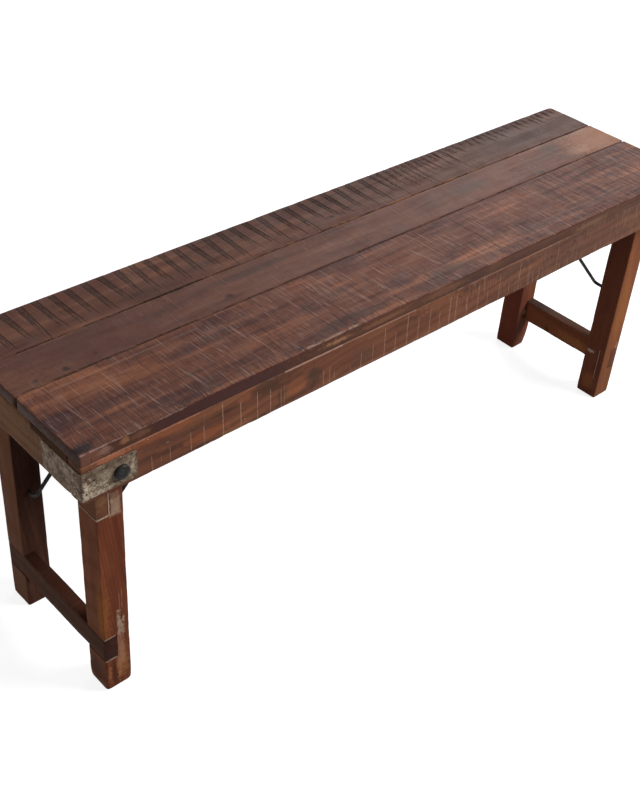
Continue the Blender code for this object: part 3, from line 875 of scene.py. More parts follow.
middlePlank = {
    "node": "plank_middle", "step": 0.0025, "edge": 0.0013, "seed": 23,
    "wear": {**hardwood, "dents": 14}, "corners": {("right", "front"): 0.003},
    "spots": [
        topSpot(-0.521, -0.001, 0.0062, 0.0062, stainTone, 0.9),
        topSpot(-0.564, -0.001, 0.005, 0.005, stainTone, 0.6),
        topSpot(-0.475, 0.004, 0.005, 0.005, stainTone, 0.5),
        topSpot(-0.258, 0.007, 0.009, 0.006, stainTone, 0.75),
        topSpot(0.386, -0.007, 0.008, 0.005, (0.03, 0.04, 0.045), 0.7),
        topSpot(0.496, -0.008, 0.009, 0.005, stainTone, 0.6),
        topSpot(0.244, 0.03, 0.06, 0.017, (0.05, 0.038, 0.036), 0.5),
        topSpot(-0.2, 0.04, 0.13, 0.012, (0.045, 0.033, 0.033), 0.55, soft=0.9),
        topSpot(-0.36, 0.03, 0.08, 0.01, (0.045, 0.033, 0.033), 0.5, soft=0.9),
        topSpot(0.57, 0.022, 0.115, 0.07, (0.32, 0.155, 0.092), 0.52, soft=0.75, ragged=1.2, deep=0.02),
        topSpot(0.508, 0.008, 0.035, 0.02, (0.38, 0.23, 0.14), 0.25, soft=0.9),
        topSpot(0.462, 0.042, 0.035, 0.02, (0.06, 0.05, 0.042), 0.6, soft=0.8),
        topSpot(-0.46, 0.025, 0.24, 0.05, (0.075, 0.031, 0.026), 0.55, soft=0.9),
    ],
    "bars": [
        bar((-0.1, 0.0607, 0.4648), (0.42, 0.0012, 0.0012), (0.36, 0.16, 0.07), 0.42, 0.0008, 5, 0.52, 55),
        seamGrime(-0.0122, 1),
    ],
    "look": {
        "light": (0.17, 0.077, 0.05), "middle": (0.115, 0.051, 0.036), "dark": (0.065, 0.031, 0.025),
        "shift": (0.3, -0.02, -0.6), "rings": 0.1, "streakScale": 40, "moodAmount": 0.5,
        "mood": (0.062, 0.034, 0.032), "moodScale": (8, 22, 22), "roughness": (0.42, 0.58),
        "marks": [
            topScratches(0.0022, 0.05, -0.05, 0.6, 8, 0.42, scratchTone, 0.25, 0.2),
            topScratches(0.0045, 0.03, 0.0, 0.66, 7, 0.3, scratchTone, 0.3, 0.2),
            topScratches(0.002, 0.03, 0.0, 0.55, 12, 0.4, darkScratch, 0.25, -0.2),
        ],
    },
}
rearPlank = {
    "node": "plank_rear", "step": 0.0007, "edge": 0.0013, "seed": 37, "wear": hardwood,
    "corners": {("right", "rear"): 0.009},
    "spots": [
        topSpot(0.0, 0.087, 0.008, 0.006, stainTone, 0.7),
        topSpot(0.023, 0.085, 0.007, 0.005, stainTone, 0.55),
        topSpot(0.47, 0.1, 0.3, 0.06, (0.06, 0.046, 0.043), 0.56, soft=0.95),
    ],
    "bars": [
        seamGrime(0.0628, 1),
        bar((-0.31, 0.0632, 0.4648), (0.05, 0.0014, 0.0016), grime, 0.95, 0.001, 3, 0.4, 60),
        bar((0.1, 0.0636, 0.4648), (0.3, 0.0012, 0.0012), (0.33, 0.15, 0.07), 0.4, 0.0008, 5, 0.54, 55),
    ],
    "look": {
        "light": (0.165, 0.07, 0.042), "middle": (0.1, 0.043, 0.03), "dark": (0.052, 0.025, 0.02),
        "shift": (-0.2, -0.1, -0.5), "rings": 0.12, "streakScale": 45, "roughness": (0.45, 0.65),
        "marks": [
            topScratches(0.0024, 0.05, -0.03, 0.56, 9, 0.36, darkScratch, 0.45, -0.4),
            topScratches(0.003, 0.05, 0.03, 0.62, 9, 0.4, scratchTone, 0.2, 0.3),
            topScratches(0.0024, 0.03, 0.02, 0.46, 8, 0.15, darkScratch, 0.7, -0.5,
                         zone=((0.38, 0.152, 0.465), (0.34, 0.04, 0.05))),
        ],
        # Each line: place across its group, half width, strength, and how far in it goes, as shares.
        "kerfs": {
            "lines": (
                (-0.17, 0.036, 1.0, 0.86), (-0.07, 0.026, 0.85, 0.72), (0.015, 0.024, 0.7, 0.8),
                (0.095, 0.026, 0.85, 0.7), (0.18, 0.038, 1.0, 1.02),
            ),
            "band": 0.2, "shade": 0.28, "tone": (0.014, 0.01, 0.01), "narrowing": 0.3,
            "fadeFrom": 0.12, "fadeTo": 0.34, "faded": 0.5,
        },
    },
    # How the saw bit into the rear plank, in groups of lines: first and last place along the bench, the
    # places from which groups are tighter and shorter, their spacing with its least and greatest share,
    # lean in degrees, and least and greatest reach in from the rear edge.
    "saw": {
        "first": -0.606, "past": 0.03, "tightFrom": 0.13, "shortFrom": 0.3, "spacing": 0.0262,
        "gaps": (0.9, 1.1), "tightGaps": (0.35, 0.7), "lean": (-4, 6), "leanAbout": 0.03, "firstReach": 0.06,
        "reach": (0.075, 0.092), "tightReach": (0.05, 0.098), "shortReach": (0.025, 0.05), "depth": 0.0005,
    },
}


def roundPlanCorners(points, low, high, radii):
    # Draws a plank's corners in, seen from above. Those with no radius of their own have the usual one.
    for side in reversed(sides):
        for end in ends:
            radius = radii.get((end, side), cornerRadius)
            outX, endAt = (-1, low[0]) if end == "left" else (1, high[0])
            outY, sideAt = (-1, low[1]) if side == "front" else (1, high[1])
            inFromEnd = np.clip((endAt - points[:, 0]) * outX, 0, radius)
            drawn = radius - np.sqrt(radius ** 2 - (radius - inFromEnd) ** 2)
            inFromSide = (sideAt - points[:, 1]) * outY
            points[:, 1] -= outY * drawn * np.clip(1 - inFromSide / (3 * radius), 0, 1)


def cutKerfs(mesh, high, plank):
    # Grooves in the mesh, and the two attributes that the finish draws them with.
    points = readPoints(mesh)
    draw = np.random.default_rng(plank["seed"])
    saw = plank["saw"]
    inwards = high[1] - points[:, 1]
    fromTurn = saw["leanAbout"] - inwards
    place = np.zeros(len(points))
    reaches = np.zeros(len(points))
    x, lean, reach, number = saw["first"], 0.0, saw["firstReach"], 0
    while x < high[0] + saw["past"]:
        tight = x > saw["tightFrom"]
        gap = saw["spacing"] * draw.uniform(*saw["tightGaps" if tight else "gaps"])
        nextLean = tan(radians(draw.uniform(*saw["lean"])))
        nextReach = draw.uniform(*saw["reach"])
        if tight:
            nextReach = draw.uniform(*saw["tightReach" if x < saw["shortFrom"] else "shortReach"])
        here = x + lean * fromTurn
        following = x + gap + nextLean * fromTurn
        share = (points[:, 0] - here) / (following - here)
        inside = share >= 0
        place[inside] = (number + 0.5 + np.clip(share, 0, 1))[inside]
        reaches[inside] = np.where(share < 0.5, reach, nextReach)[inside]
        x, lean, reach, number = x + gap, nextLean, nextReach, number + 1
    share = inwards / np.maximum(reaches, 0.01)
    kerfs = plank["look"]["kerfs"]
    away = (np.mod(place, 1) - 0.5) / np.maximum(1 - share * kerfs["narrowing"], 0.2)
    groove = np.zeros(len(points))
    for offset, width, strength, length in kerfs["lines"]:
        line = strength * np.exp(-((away - offset) / (width * 0.8)) ** 2)
        groove = np.maximum(groove, line * np.clip((length - share) / 0.15, 0, 1))
    groove *= np.clip((inwards - 0.001) / 0.003, 0, 1) * (readNormals(mesh)[:, 2] > 0.6)
    points[:, 2] -= groove * saw["depth"]
    writePoints(mesh, points)
    for name, values in (("kerfPlace", place), ("kerfReach", np.maximum(reaches, 0.01))):
        attribute = mesh.attributes.new(name, "FLOAT", "POINT")
        attribute.data.foreach_set("value", values.astype(np.float32))


def buildPlank(plank):
    node = plank["node"]
    mesh, low, high = agedBoard(node, 0, plank, plank["seed"], (0.008, 0.004, 0.0035, 0.004))
    points = readPoints(mesh)
    roundPlanCorners(points, low, high, plank["corners"])
    for stain in plank["spots"]:
        if stain["size"][0] < dimple["widest"]:
            # A small stain lies in a shallow dimple.
            away = ((points - Vector(stain["at"])) ** 2).sum(1) / (stain["size"][1] * dimple["share"]) ** 2
            points[:, 2] -= dimple["depth"] * np.exp(-away) * (points[:, 2] > high[2] - dimple["reach"])
    writePoints(mesh, points)
    if "saw" in plank:
        cutKerfs(mesh, high, plank)
    look = {**plankWood, **plank["look"], "spots": plank["spots"], "bars": plank["bars"]}
    replaceNode(node, "_worn", mesh, woodMaterial(node + "_wood", low, high, look))


for plank in (frontPlank, middlePlank, rearPlank):
    buildPlank(plank)
print("planks built")


# The rails and batten that carry the planks.

boltHoleRadius = 0.0054
paleScratch = (0.36, 0.22, 0.15)
rightHalf = ((0.36, -0.15, 0.42), (0.42, 0.1, 0.12))
railMarks = [
    scratches(0.0034, 0.05, 0.05, 0.61, 9, 0.34, paleScratch, 0.5, 0.4, zone=rightHalf),
    scratches(0.0018, 0.03, 0.0, 0.55, 12, 0.34, paleScratch, 0.35, 0.3, zone=rightHalf),
    scratches(0.0028, 0.03, 0.0, 0.54, 12, 0.38, darkScratch, 0.5, -0.3, zone=rightHalf),
    scratches(0.003, 0.02, 0.0, 0.62, 14, 0.45, paleScratch, 0.3, 0.3,
              zone=((-0.2, frontSide, 0.392), (0.36, 0.02, 0.02))),
]
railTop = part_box("side_rail_front")[1].z - 0.0008
# Each stroke: place along the rail, how high it reaches, and strength.
railStrokes = (
    (-0.502, 0.416, 0.5), (-0.488, 0.408, 0.25), (-0.475, 0.417, 0.45), (-0.444, 0.424, 0.6),
    (-0.424, 0.424, 0.5), (-0.4235, 0.446, 0.15), (-0.395, 0.445, 0.75), (-0.366, 0.433, 0.8),
    (-0.339, 0.436, 0.7), (-0.317, 0.43, 0.7), (-0.299, 0.424, 0.5), (-0.294, 0.426, 0.35),
    (-0.225, 0.419, 0.55), (-0.214, 0.421, 0.4), (-0.205, 0.41, 0.4), (-0.175, 0.406, 0.3),
    (-0.156, 0.419, 0.5), (-0.134, 0.422, 0.45), (-0.113, 0.442, 0.6), (-0.091, 0.424, 0.5),
    (-0.069, 0.444, 0.7), (-0.046, 0.431, 0.6), (-0.023, 0.435, 0.6), (-0.002, 0.424, 0.5),
    (0.018, 0.44, 0.7), (0.031, 0.44, 0.6), (0.055, 0.425, 0.5), (0.079, 0.44, 0.5),
    (0.101, 0.42, 0.4), (0.126, 0.437, 0.45), (0.15, 0.415, 0.4), (0.171, 0.44, 0.5),
    (0.196, 0.43, 0.4), (0.22, 0.42, 0.35), (0.262, 0.435, 0.4),
)
railSpots = [
    sideSpot(-0.48, 0.441, 0.075, 0.007, (0.27, 0.085, 0.04), 0.55),
    sideSpot(-0.42, 0.409, 0.05, 0.008, (0.28, 0.085, 0.036), 0.55),
    sideSpot(-0.36, 0.436, 0.016, 0.009, (0.27, 0.095, 0.045), 0.5),
    sideSpot(-0.42, 0.3935, 0.04, 0.003, (0.05, 0.027, 0.02), 0.65),
    sideSpot(-0.475, 0.427, 0.045, 0.008, (0.07, 0.034, 0.029), 0.55),
    sideSpot(-0.39, 0.4285, 0.03, 0.003, (0.055, 0.029, 0.021), 0.6),
    sideSpot(-0.322, 0.437, 0.03, 0.013, (0.06, 0.033, 0.023), 0.65),
    sideSpot(-0.298, 0.412, 0.009, 0.018, (0.065, 0.035, 0.024), 0.55),
    sideSpot(-0.241, 0.416, 0.017, 0.022, (0.055, 0.034, 0.025), 0.65),
    sideSpot(-0.272, 0.415, 0.02, 0.016, (0.25, 0.085, 0.042), 0.6, soft=0.35, ragged=0.5, rings=0.6),
    sideSpot(-0.15, 0.41, 0.04, 0.02, (0.09, 0.047, 0.034), 0.45),
    sideSpot(-0.169, 0.3905, 0.007, 0.0035, grime, 0.85, deep=0.006),
    sideSpot(-0.1, 0.3925, 0.28, 0.006, (0.22, 0.1, 0.065), 0.4),
    sideSpot(0.36, 0.42, 0.32, 0.08, (0.075, 0.043, 0.032), 0.45, deep=0.02),
    sideSpot(0.16, 0.435, 0.06, 0.012, (0.065, 0.038, 0.03), 0.5),
    sideSpot(0.0, 0.437, 0.07, 0.012, (0.26, 0.1, 0.05), 0.45),
    sideSpot(-0.556, 0.4425, 0.033, 0.0055, (0.38, 0.14, 0.075), 0.7, deep=0.006),
    sideSpot(-0.506, 0.4432, 0.0018, 0.001, (0.42, 0.31, 0.25), 0.7, deep=0.004),
    sideSpot(-0.478, 0.4243, 0.003, 0.001, (0.38, 0.28, 0.22), 0.6, deep=0.004),
    sideSpot(-0.358, 0.4016, 0.0018, 0.001, (0.38, 0.28, 0.22), 0.55, deep=0.004),
    sideSpot(0.301, 0.433, 0.004, 0.003, grime, 0.7, deep=0.004),
    sideSpot(0.288, 0.418, 0.004, 0.003, grime, 0.6, deep=0.004),
    sideSpot(0.246, 0.425, 0.003, 0.003, grime, 0.6, deep=0.004),
]
# The rail's top arris shows as a pale line in the seam, partly wear and partly a painted highlight.
railArrisWearAndHighlight = [
    bar((-0.5075, -0.1513, railTop), (0.078, 0.0012, 0.0009), (0.4, 0.19, 0.12), 0.42, 0.0006, 4, 0.42, 90),
    bar((-0.243, -0.1513, railTop), (0.05, 0.0014, 0.0014), (0.4, 0.23, 0.17), 0.62, 0.0007, 3, 0.35, 60),
    bar((-0.13, -0.1513, railTop), (0.075, 0.0012, 0.0008), (0.36, 0.21, 0.15), 0.42, 0.0006, 4, 0.42, 90),
    bar((0.155, -0.1513, railTop), (0.125, 0.0012, 0.0007), (0.3, 0.19, 0.14), 0.3, 0.0006, 4, 0.45, 90),
]
sideRail = {
    "nodes": ("side_rail_front", "side_rail_rear"), "step": 0.003, "edge": 0.0016, "seed": 51,
    "wear": {**hardwood, "reach": 0.005, "dents": 40},
    "look": {
        "light": (0.235, 0.092, 0.046), "middle": (0.155, 0.061, 0.036), "dark": (0.075, 0.034, 0.025),
        "mood": (0.075, 0.038, 0.03), "gloss": 0.02, "lean": (0, 0.1, 0),
        "shift": (0, 0.13, -0.47), "rings": 0.3, "ringScale": 22, "figure": 0.06, "rawAmount": 0.5,
        "moodAmount": 0.5, "moodScale": (9, 22, 22), "marks": railMarks,
        "spots": railSpots, "bars": railArrisWearAndHighlight, "strokes": railStrokes,
    },
}
endRail = {
    "nodes": ("end_rail_left", "end_rail_right"), "step": 0.003, "edge": 0.0016, "seed": 61,
    "wear": {**hardwood, "dents": 12},
    "look": {
        "grain": "Y", "light": (0.22, 0.105, 0.052), "middle": (0.155, 0.073, 0.036),
        "dark": (0.07, 0.034, 0.019), "shift": (0.1, 0.62, -0.44), "rings": 0.15, "rawAmount": 0.5,
        "moodAmount": 0.3, "gloss": 0.012, "edgeAmount": 0.2,
        "marks": [
            scratches(0.0022, 0.05, 0.0, 0.56, 12, 0.35, (0.035, 0.018, 0.012), 0.5, 0.3),
            scratches(0.003, 0.05, 0.0, 0.62, 12, 0.4, scratchTone, 0.25, 0.2),
        ],
        "bars": [
            # A dark band along the top of the left end rail's outer face, just under the plank ends.
            bar((-0.5995, -0.1, railTop - 0.002), (0.002, 0.055, 0.006), grime, 0.75, 0.002, 2, 0.36, 50),
        ],
    },
}
batten = {
    "nodes": ("centre_batten",), "step": 0.004, "edge": 0.0016, "seed": 71, "wear": {**hardwood, "dents": 8},
    "look": {
        "grain": "Y", "light": (0.19, 0.12, 0.075), "middle": (0.13, 0.078, 0.05),
        "dark": (0.07, 0.038, 0.026), "shift": (0.4, 0.02, -0.44), "rings": 0.3, "rawAmount": 0.4,
        "marks": [
            scratches(0.003, 0.05, 0.05, 0.58, 12, 0.4, (0.24, 0.17, 0.12), 0.4, 0.5),
        ],
    },
}


def boltHole(node):
    # A cutter for the hole that a bolt goes through, as long as the bolt.
    low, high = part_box(node)
    return pin("boltHole", boltHoleRadius, (high.y - low.y) / 2, 32, 1, (low + high) / 2)


# Each further piece of a kind is cut from another part of the grain.
nextCut = Vector((0.37, 0.02, 0.01))


def buildRails(rail, axis):
    for index, node in enumerate(rail["nodes"]):
        mesh, low, high = agedBoard(node, axis, rail, rail["seed"] + 5 * index)
        if rail is sideRail:
            side = sides[low.y > 0]
            mesh = cutAway(mesh, [boltHole(f"pivot_bolt_{side}_{end}") for end in ends])
        shift = Vector(rail["look"]["shift"]) + nextCut * index
        look = {**rail["look"], "shift": shift, **rail.get("own", {}).get(node, {})}
        replaceNode(node, "_worn", mesh, woodMaterial(node + "_wood", low, high, look))


buildRails(sideRail, 0)
buildRails(endRail, 1)
buildRails(batten, 1)
print("rails built")


# The leg frames: legs with a round top, stretchers let into their outer faces, and the repair block.

legWood = {
    "grain": "Z", "lean": (0.0, 0.12, 0), "light": (0.21, 0.06, 0.027), "middle": (0.132, 0.037, 0.02),
    "dark": (0.062, 0.018, 0.012), "rings": 0.16, "streakScale": 46, "figure": 0.012, "moodAmount": 0.4,
    "mood": (0.05, 0.017, 0.012), "endAmount": 0.3, "edgeAmount": 0.3, "dust": 0.04,
    "roughness": (0.42, 0.6), "gloss": 0.008,
    "marks": [
        scratches(0.006, 0.03, 0.1, 0.63, 10, 0.5, scratchTone, 0.08, 0.1),
    ],
}
outerTone = (leftward, (0.15, 0.058, 0.028), 0.6)
cream = (0.46, 0.33, 0.23)
filler = (0.46, 0.36, 0.27)
orange = (0.3, 0.11, 0.03)
frontFace = -0.1224
# The filler lies in the joints round the repair block.
fillerHalf = 0.0009
patchLow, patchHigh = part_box("leg_patch")
patchLine = patchLow.z - fillerHalf
patchSide = patchHigh.x + fillerHalf
plainLeg = {"taper": 0, "foot": 0.003, "look": {}, "spots": [], "bars": []}
legs = {
    "leg_front_left": {
        "shift": (0.545, 0.1, 0.03), "seed": 81, "foot": 0.006,
        "look": {
            "light": (0.27, 0.082, 0.035), "dark": (0.045, 0.013, 0.01), "rings": 0.3, "ringScale": 60,
            "faces": [outerTone, (frontward, (0.22, 0.066, 0.031), 0.32)],
        },
        "spots": [
            spot((-0.566, frontFace, 0.15), (0.017, 0.02, 0.075), orange, 0.6, 0.95),
            spot((-0.539, frontFace, 0.05), (0.014, 0.01, 0.05), (0.33, 0.15, 0.06), 0.65, 0.9),
            spot((-0.553, frontFace, 0.03), (0.004, 0.004, 0.034), (0.05, 0.022, 0.012), 0.6, 0.8, 2.5),
            spot((-0.56, frontFace, 0.035), (0.004, 0.004, 0.03), (0.36, 0.15, 0.06), 0.5, 0.8, 2.5),
            spot((-0.545, frontFace, 0.03), (0.005, 0.004, 0.03), (0.4, 0.18, 0.08), 0.5, 0.8, 2.5),
            spot((-0.5661, -0.1, 0.03), (0.004, 0.03, 0.036), (0.06, 0.025, 0.016), 0.72, 0.7),
        ],
        "bars": [
            bar((-0.538, frontFace, 0.333), (0.0062, 0.001, 0.012), cream, 0.78, 0.004, 2, 0.49, 75),
            # The cream patch above is weaker than the one below, as painted shade under the side rail.
            bar((-0.538, frontFace, 0.352), (0.006, 0.001, 0.005), cream, 0.5, 0.004, 2, 0.5, 75),
            bar((-0.5384, frontFace, 0.125), (0.0054, 0.001, 0.0245), cream, 0.78, 0.002, 3, 0.5, 110),
            bar((-0.5415, frontFace, 0.073), (0.0055, 0.001, 0.029), (0.38, 0.19, 0.12), 0.65,
                0.003, 1, 0.46, 90),
            bar((-0.5395, frontFace, 0.165), (0.0005, 0.001, 0.015), cream, 0.3),
            bar((-0.5355, frontFace, 0.168), (0.0005, 0.001, 0.018), cream, 0.3),
            bar((-0.557, frontFace, patchLine), (0.009, 0.001, fillerHalf), filler, 0.9),
            bar((patchSide, frontFace, patchLine + 0.022), (fillerHalf, 0.001, 0.022), filler, 0.9),
            bar((-0.5661, -0.1017, patchLine), (0.001, 0.021, 0.0008), filler, 0.7),
            bar((-0.557, frontFace, 0.1044), (0.0095, 0.001, 0.0008), filler, 0.8),
            bar((-0.557, frontFace, 0.0612), (0.0095, 0.001, 0.0007), filler, 0.6),
        ],
    },
    "leg_rear_left": {
        "shift": (0.1, -0.1, 0.27), "seed": 91,
        "look": {
            # This leg's dark tones are painted shade: it stands under the seat, in its shadow. Its outer face
            # keeps a lighter tone.
            "light": (0.1, 0.044, 0.027), "middle": (0.062, 0.025, 0.017), "dark": (0.036, 0.015, 0.011),
            "faces": [outerTone],
        },
    },
    "leg_front_right": {
        "shift": (-0.62, 0.16, -0.2), "seed": 101,
        "look": {
            "faces": [(frontward, (0.23, 0.098, 0.042), 0.42), (leftward, (0.17, 0.058, 0.033), 0.5)],
        },
        "spots": [
            spot((0.5575, frontFace, 0.09), (0.0045, 0.01, 0.028), filler, 0.6),
            spot((0.5256, -0.0935, 0.0935), (0.01, 0.009, 0.0045), filler, 0.75, ragged=2.5),
            spot((0.5256, -0.1, 0.03), (0.01, 0.02, 0.025), (0.26, 0.1, 0.04), 0.5),
            spot((0.546, frontFace, 0.2), (0.02, 0.01, 0.09), orange, 0.3),
        ],
        "bars": [
            bar((0.5256, -0.111, 0.073), (0.001, 0.0006, 0.032), filler, 0.6, flaking=0.38, flakes=90),
        ],
    },
    "leg_rear_right": {
        "shift": (-0.5, -0.2, 0.1), "seed": 111, "taper": 0.008,
        "look": {
            "faces": [(leftward, (0.16, 0.041, 0.025), 0.6), (frontward, (0.128, 0.046, 0.026), 0.68)],
        },
        "spots": [
            spot((0.543, 0.0809, 0.08), (0.006, 0.006, 0.006), filler, 0.5),
        ],
    },
}
legShape = {
    "edge": 0.0014, "footLength": 0.02, "footEndShare": 0.8, "step": 0.003, "rodRadius": 0.0034,
    "fit": 0.0003, "rodReach": 0.0009, "spare": 0.01, "taperFrom": 0.056, "taperLength": 0.05,
    "leastShare": 0.0004,
    "wear": {"wave": 0.00012, "chip": 0.0009, "round": 0.0001, "reach": 0.004, "dents": 4, "dent": 0.0003},
}
stretcher = {
    "nodes": ("stretcher_left", "stretcher_right"), "step": 0.003, "edge": 0.0014, "seed": 121,
    # The dark tone on each stretcher's upward face is painted shade from the seat above.
    "own": {
        "stretcher_left": {
            "faces": [(leftward, (0.046, 0.019, 0.011), 0.85), (upward, (0.033, 0.01, 0.006), 0.85)],
        },
        "stretcher_right": {
            "endTone": (0.13, 0.05, 0.028), "moodAmount": 0.7,
            "faces": [(leftward, (0.24, 0.076, 0.034), 0.6), (upward, (0.04, 0.023, 0.018), 0.8)],
            "spots": [
                spot((0.5461, -0.045, 0.074), (0.01, 0.075, 0.017), (0.34, 0.13, 0.045), 0.55, 0.8),
                spot((0.5461, 0.02, 0.097), (0.01, 0.09, 0.01), (0.09, 0.032, 0.02), 0.4, 0.8),
                spot((0.5461, 0.025, 0.07), (0.006, 0.006, 0.005), grime, 0.6),
                spot((0.556, 0.055, 0.1036), (0.02, 0.035, 0.008), (0.02, 0.011, 0.01), 0.6, 0.9),
            ],
        },
    },
    "wear": {**hardwood, "dents": 10},
    "look": {
        "grain": "Y", "light": (0.17, 0.06, 0.025), "middle": (0.1, 0.032, 0.016),
        "dark": (0.045, 0.016, 0.01), "shift": (0.2, 0.5, 0.02), "rings": 0.16, "gloss": 0.008,
        "endTone": (0.04, 0.017, 0.015), "endAmount": 0.8, "dust": 0.03,
        "marks": [
            scratches(0.003, 0.05, 0.1, 0.6, 12, 0.45, scratchTone, 0.1, 0.1),
        ],
    },
}
patchBlock = {
    "nodes": ("leg_patch",), "step": 0.002, "edge": 0.0008, "seed": 131,
    "wear": {**hardwood, "chip": 0.0006, "dents": 2},
    "look": {
        "grain": "Y", "light": (0.28, 0.13, 0.065), "middle": (0.17, 0.074, 0.038),
        "dark": (0.07, 0.029, 0.018), "shift": (0.1, -0.527, -0.309), "rings": 0.85, "ringScale": 85,
        "endTone": (0.16, 0.07, 0.038), "endAmount": 0.3, "moodAmount": 0.2, "gloss": 0.008,
        "faces": [(leftward, (0.12, 0.05, 0.028), 1.0)],
        "spots": [
            spot((-0.557, frontFace, 0.329), (0.014, 0.004, 0.01), (0.11, 0.036, 0.021), 0.6),
            spot((-0.557, frontFace, 0.352), (0.014, 0.004, 0.012), (0.32, 0.155, 0.08), 0.5),
        ],
    },
}


def jointPlace(name):
    return next(joint for joint in frame["joints"] if joint["name"] == name)["pos_m"]


def letInCutter(node, low, high, outer):
    # The room for a stretcher or the repair block, open to the outside of a leg with these corners.
    spare, fit = legShape["spare"], Vector((legShape["fit"],) * 3)
    letLow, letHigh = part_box(node)
    letLow, letHigh = letLow - fit, letHigh + fit
    letLow.y, letHigh.y = low.y - spare, high.y + spare
    if outer < 0:
        letLow.x = low.x - spare
    else:
        letHigh.x = high.x + spare
    return boxCutter(letLow, letHigh)


def buildLeg(node, leg):
    low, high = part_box(node)
    end, side = ends[low.x > 0], sides[low.y > 0]
    outer = -1 if end == "left" else 1
    boltHeight = jointPlace(end + "_leg_fold")[2]
    radius = (high.x - low.x) / 2
    shape = legShape

    def profile(along, halfX, halfY, centreX, centreY):
        # Round about the bolt at the top, and drawn in on the outside towards the foot.
        above = along - boltHeight
        if above > 0:
            halfX *= sqrt(max(1 - (above / radius) ** 2, shape["leastShare"]))
        below = shape["taperFrom"] - along
        if below > 0 and leg["taper"]:
            drawn = leg["taper"] * (below / shape["taperLength"]) ** 2
            halfX -= drawn / 2
            centreX -= outer * drawn / 2
        return halfX, halfY, centreX, centreY

    foot = (leg["foot"], shape["footLength"])
    endEdge = leg["foot"] * shape["footEndShare"]
    rows = agedBoard(node, 2, shape, leg["seed"], endEdge=endEdge, profile=profile, foot=foot)[0]
    hole = jointPlace(end + "_stay_swing")
    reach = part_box(f"stay_rod_{end}")[1].y + shape["rodReach"]
    cutters = [boltHole(f"pivot_bolt_{side}_{end}")]
    cutters.append(pin("rodHole", shape["rodRadius"], reach, 24, 1, (hole[0], 0, hole[2])))
    for let in [f"stretcher_{end}"] + ["leg_patch"] * (node == "leg_front_left"):
        cutters.append(letInCutter(let, low, high, outer))
    mesh = cutAway(rows, cutters)
    own = {key: leg[key] for key in ("shift", "spots", "bars")}
    look = {**legWood, **own, **leg["look"]}
    replaceNode(node, "_worn", mesh, woodMaterial(node + "_wood", low, high, look))


for node, leg in legs.items():
    buildLeg(node, {**plainLeg, **leg})
buildRails(stretcher, 1)
buildRails(patchBlock, 1)
print("leg frames built")


# The iron: straps, bolts, nuts, washers, rods, and the screws and nails that hold them.

strapIron = {
    "iron": (0.142, 0.096, 0.064), "rust": (0.074, 0.039, 0.026), "coat": (0.28, 0.215, 0.15),
    "coatGreen": (0.15, 0.117, 0.074), "cream": (0.52, 0.41, 0.31), "rimTone": (0.24, 0.18, 0.13),
    "cloudScale": 60, "coatScale": 150, "coatCover": 0.52, "coatAmount": 0.55, "creamScale": 210,
    "gloss": 0.12,
}
blackIron = {
    "bare": (0.021, 0.019, 0.018), "black": (0.01, 0.0095, 0.009), "rust": (0.05, 0.027, 0.017),
    "rimTone": (0.07, 0.064, 0.058), "dustTone": (0.1, 0.08, 0.065), "scaleSize": 320, "scaleCover": 0.55,
    "rustScale": 120, "rustAmount": 0.5, "rimAmount": 0.4, "dust": 0.25,
}
strap = {
    "bend": 0.002, "step": 0.0018, "thickness": 0.0012, "dent": 0.00022, "dentScale": 150,
    "pit": 0.6, "pitScale": 420, "ragged": 0.0009, "ragScale": 110, "clip": 0.0025, "sag": 0.0012,
    "markDepth": 0.01, "nailRadius": 0.0014, "nailSink": 0.0003, "nailGap": 0.0003, "nailRise": 0.002,
    "nailHoleReach": 0.003, "nailLength": 0.014,
    # Marks: way from the bench's corner, height above the strap's foot, width, height, colour, amount,
    # softness and raggedness.
    "marks": (
        (0.0545, 0.038, 0.009, 0.005, (0.06, 0.03, 0.018), 0.7, 0.7, 1.5),
        (0.072, 0.021, 0.004, 0.011, (0.5, 0.4, 0.3), 0.6, 0.6, 3),
        (0.007, 0.0075, 0.005, 0.008, (0.62, 0.5, 0.38), 0.7, 0.7, 3),
        (0.0085, 0.0205, 0.0045, 0.006, (0.62, 0.5, 0.38), 0.6, 0.7, 3),
        (0.03, 0.037, 0.03, 0.007, (0.09, 0.055, 0.036), 0.5, 0.9, 3),
        (0.0, 0.021, 0.0035, 0.03, (0.06, 0.034, 0.026), 0.75, 0.6, 1.5),
        (0.035, 0.004, 0.02, 0.004, (0.5, 0.4, 0.3), 0.5, 0.7, 3),
        (0.042, 0.021, 0.034, 0.018, (0.37, 0.3, 0.22), 0.4, 0.9, 3),
    ),
    # Nails, each by its way from the bench's corner and its height as a share of the strap's.
    "sideNails": ((0.0068, 0.17), (0.0185, 0.55), (0.071, 0.86)),
    "endNails": ((0.012, 0.2), (0.03, 0.8), (0.072, 0.25)),
}
ironBlack = ironMaterial("black_iron_scale", blackIron)
ironNail = ironMaterial("dark_nail_iron", {**blackIron, "rustAmount": 0.9, "rimAmount": 0.2})


def strapPath(sideRun, endRun):
    # The path runs along the front or rear face to the corner, round it, and across the end.
    bend, step = strap["bend"], strap["step"]
    path = [(sideRun - d, 0) for d in np.arange(0, sideRun - bend, step)]
    path += [(bend * (1 - sin(t)), bend * (1 - cos(t))) for t in np.linspace(0, pi / 2, 6)]
    path += [(0, bend + d) for d in np.linspace(0, endRun - bend, round(endRun / step))[1:]]
    return np.array(path)


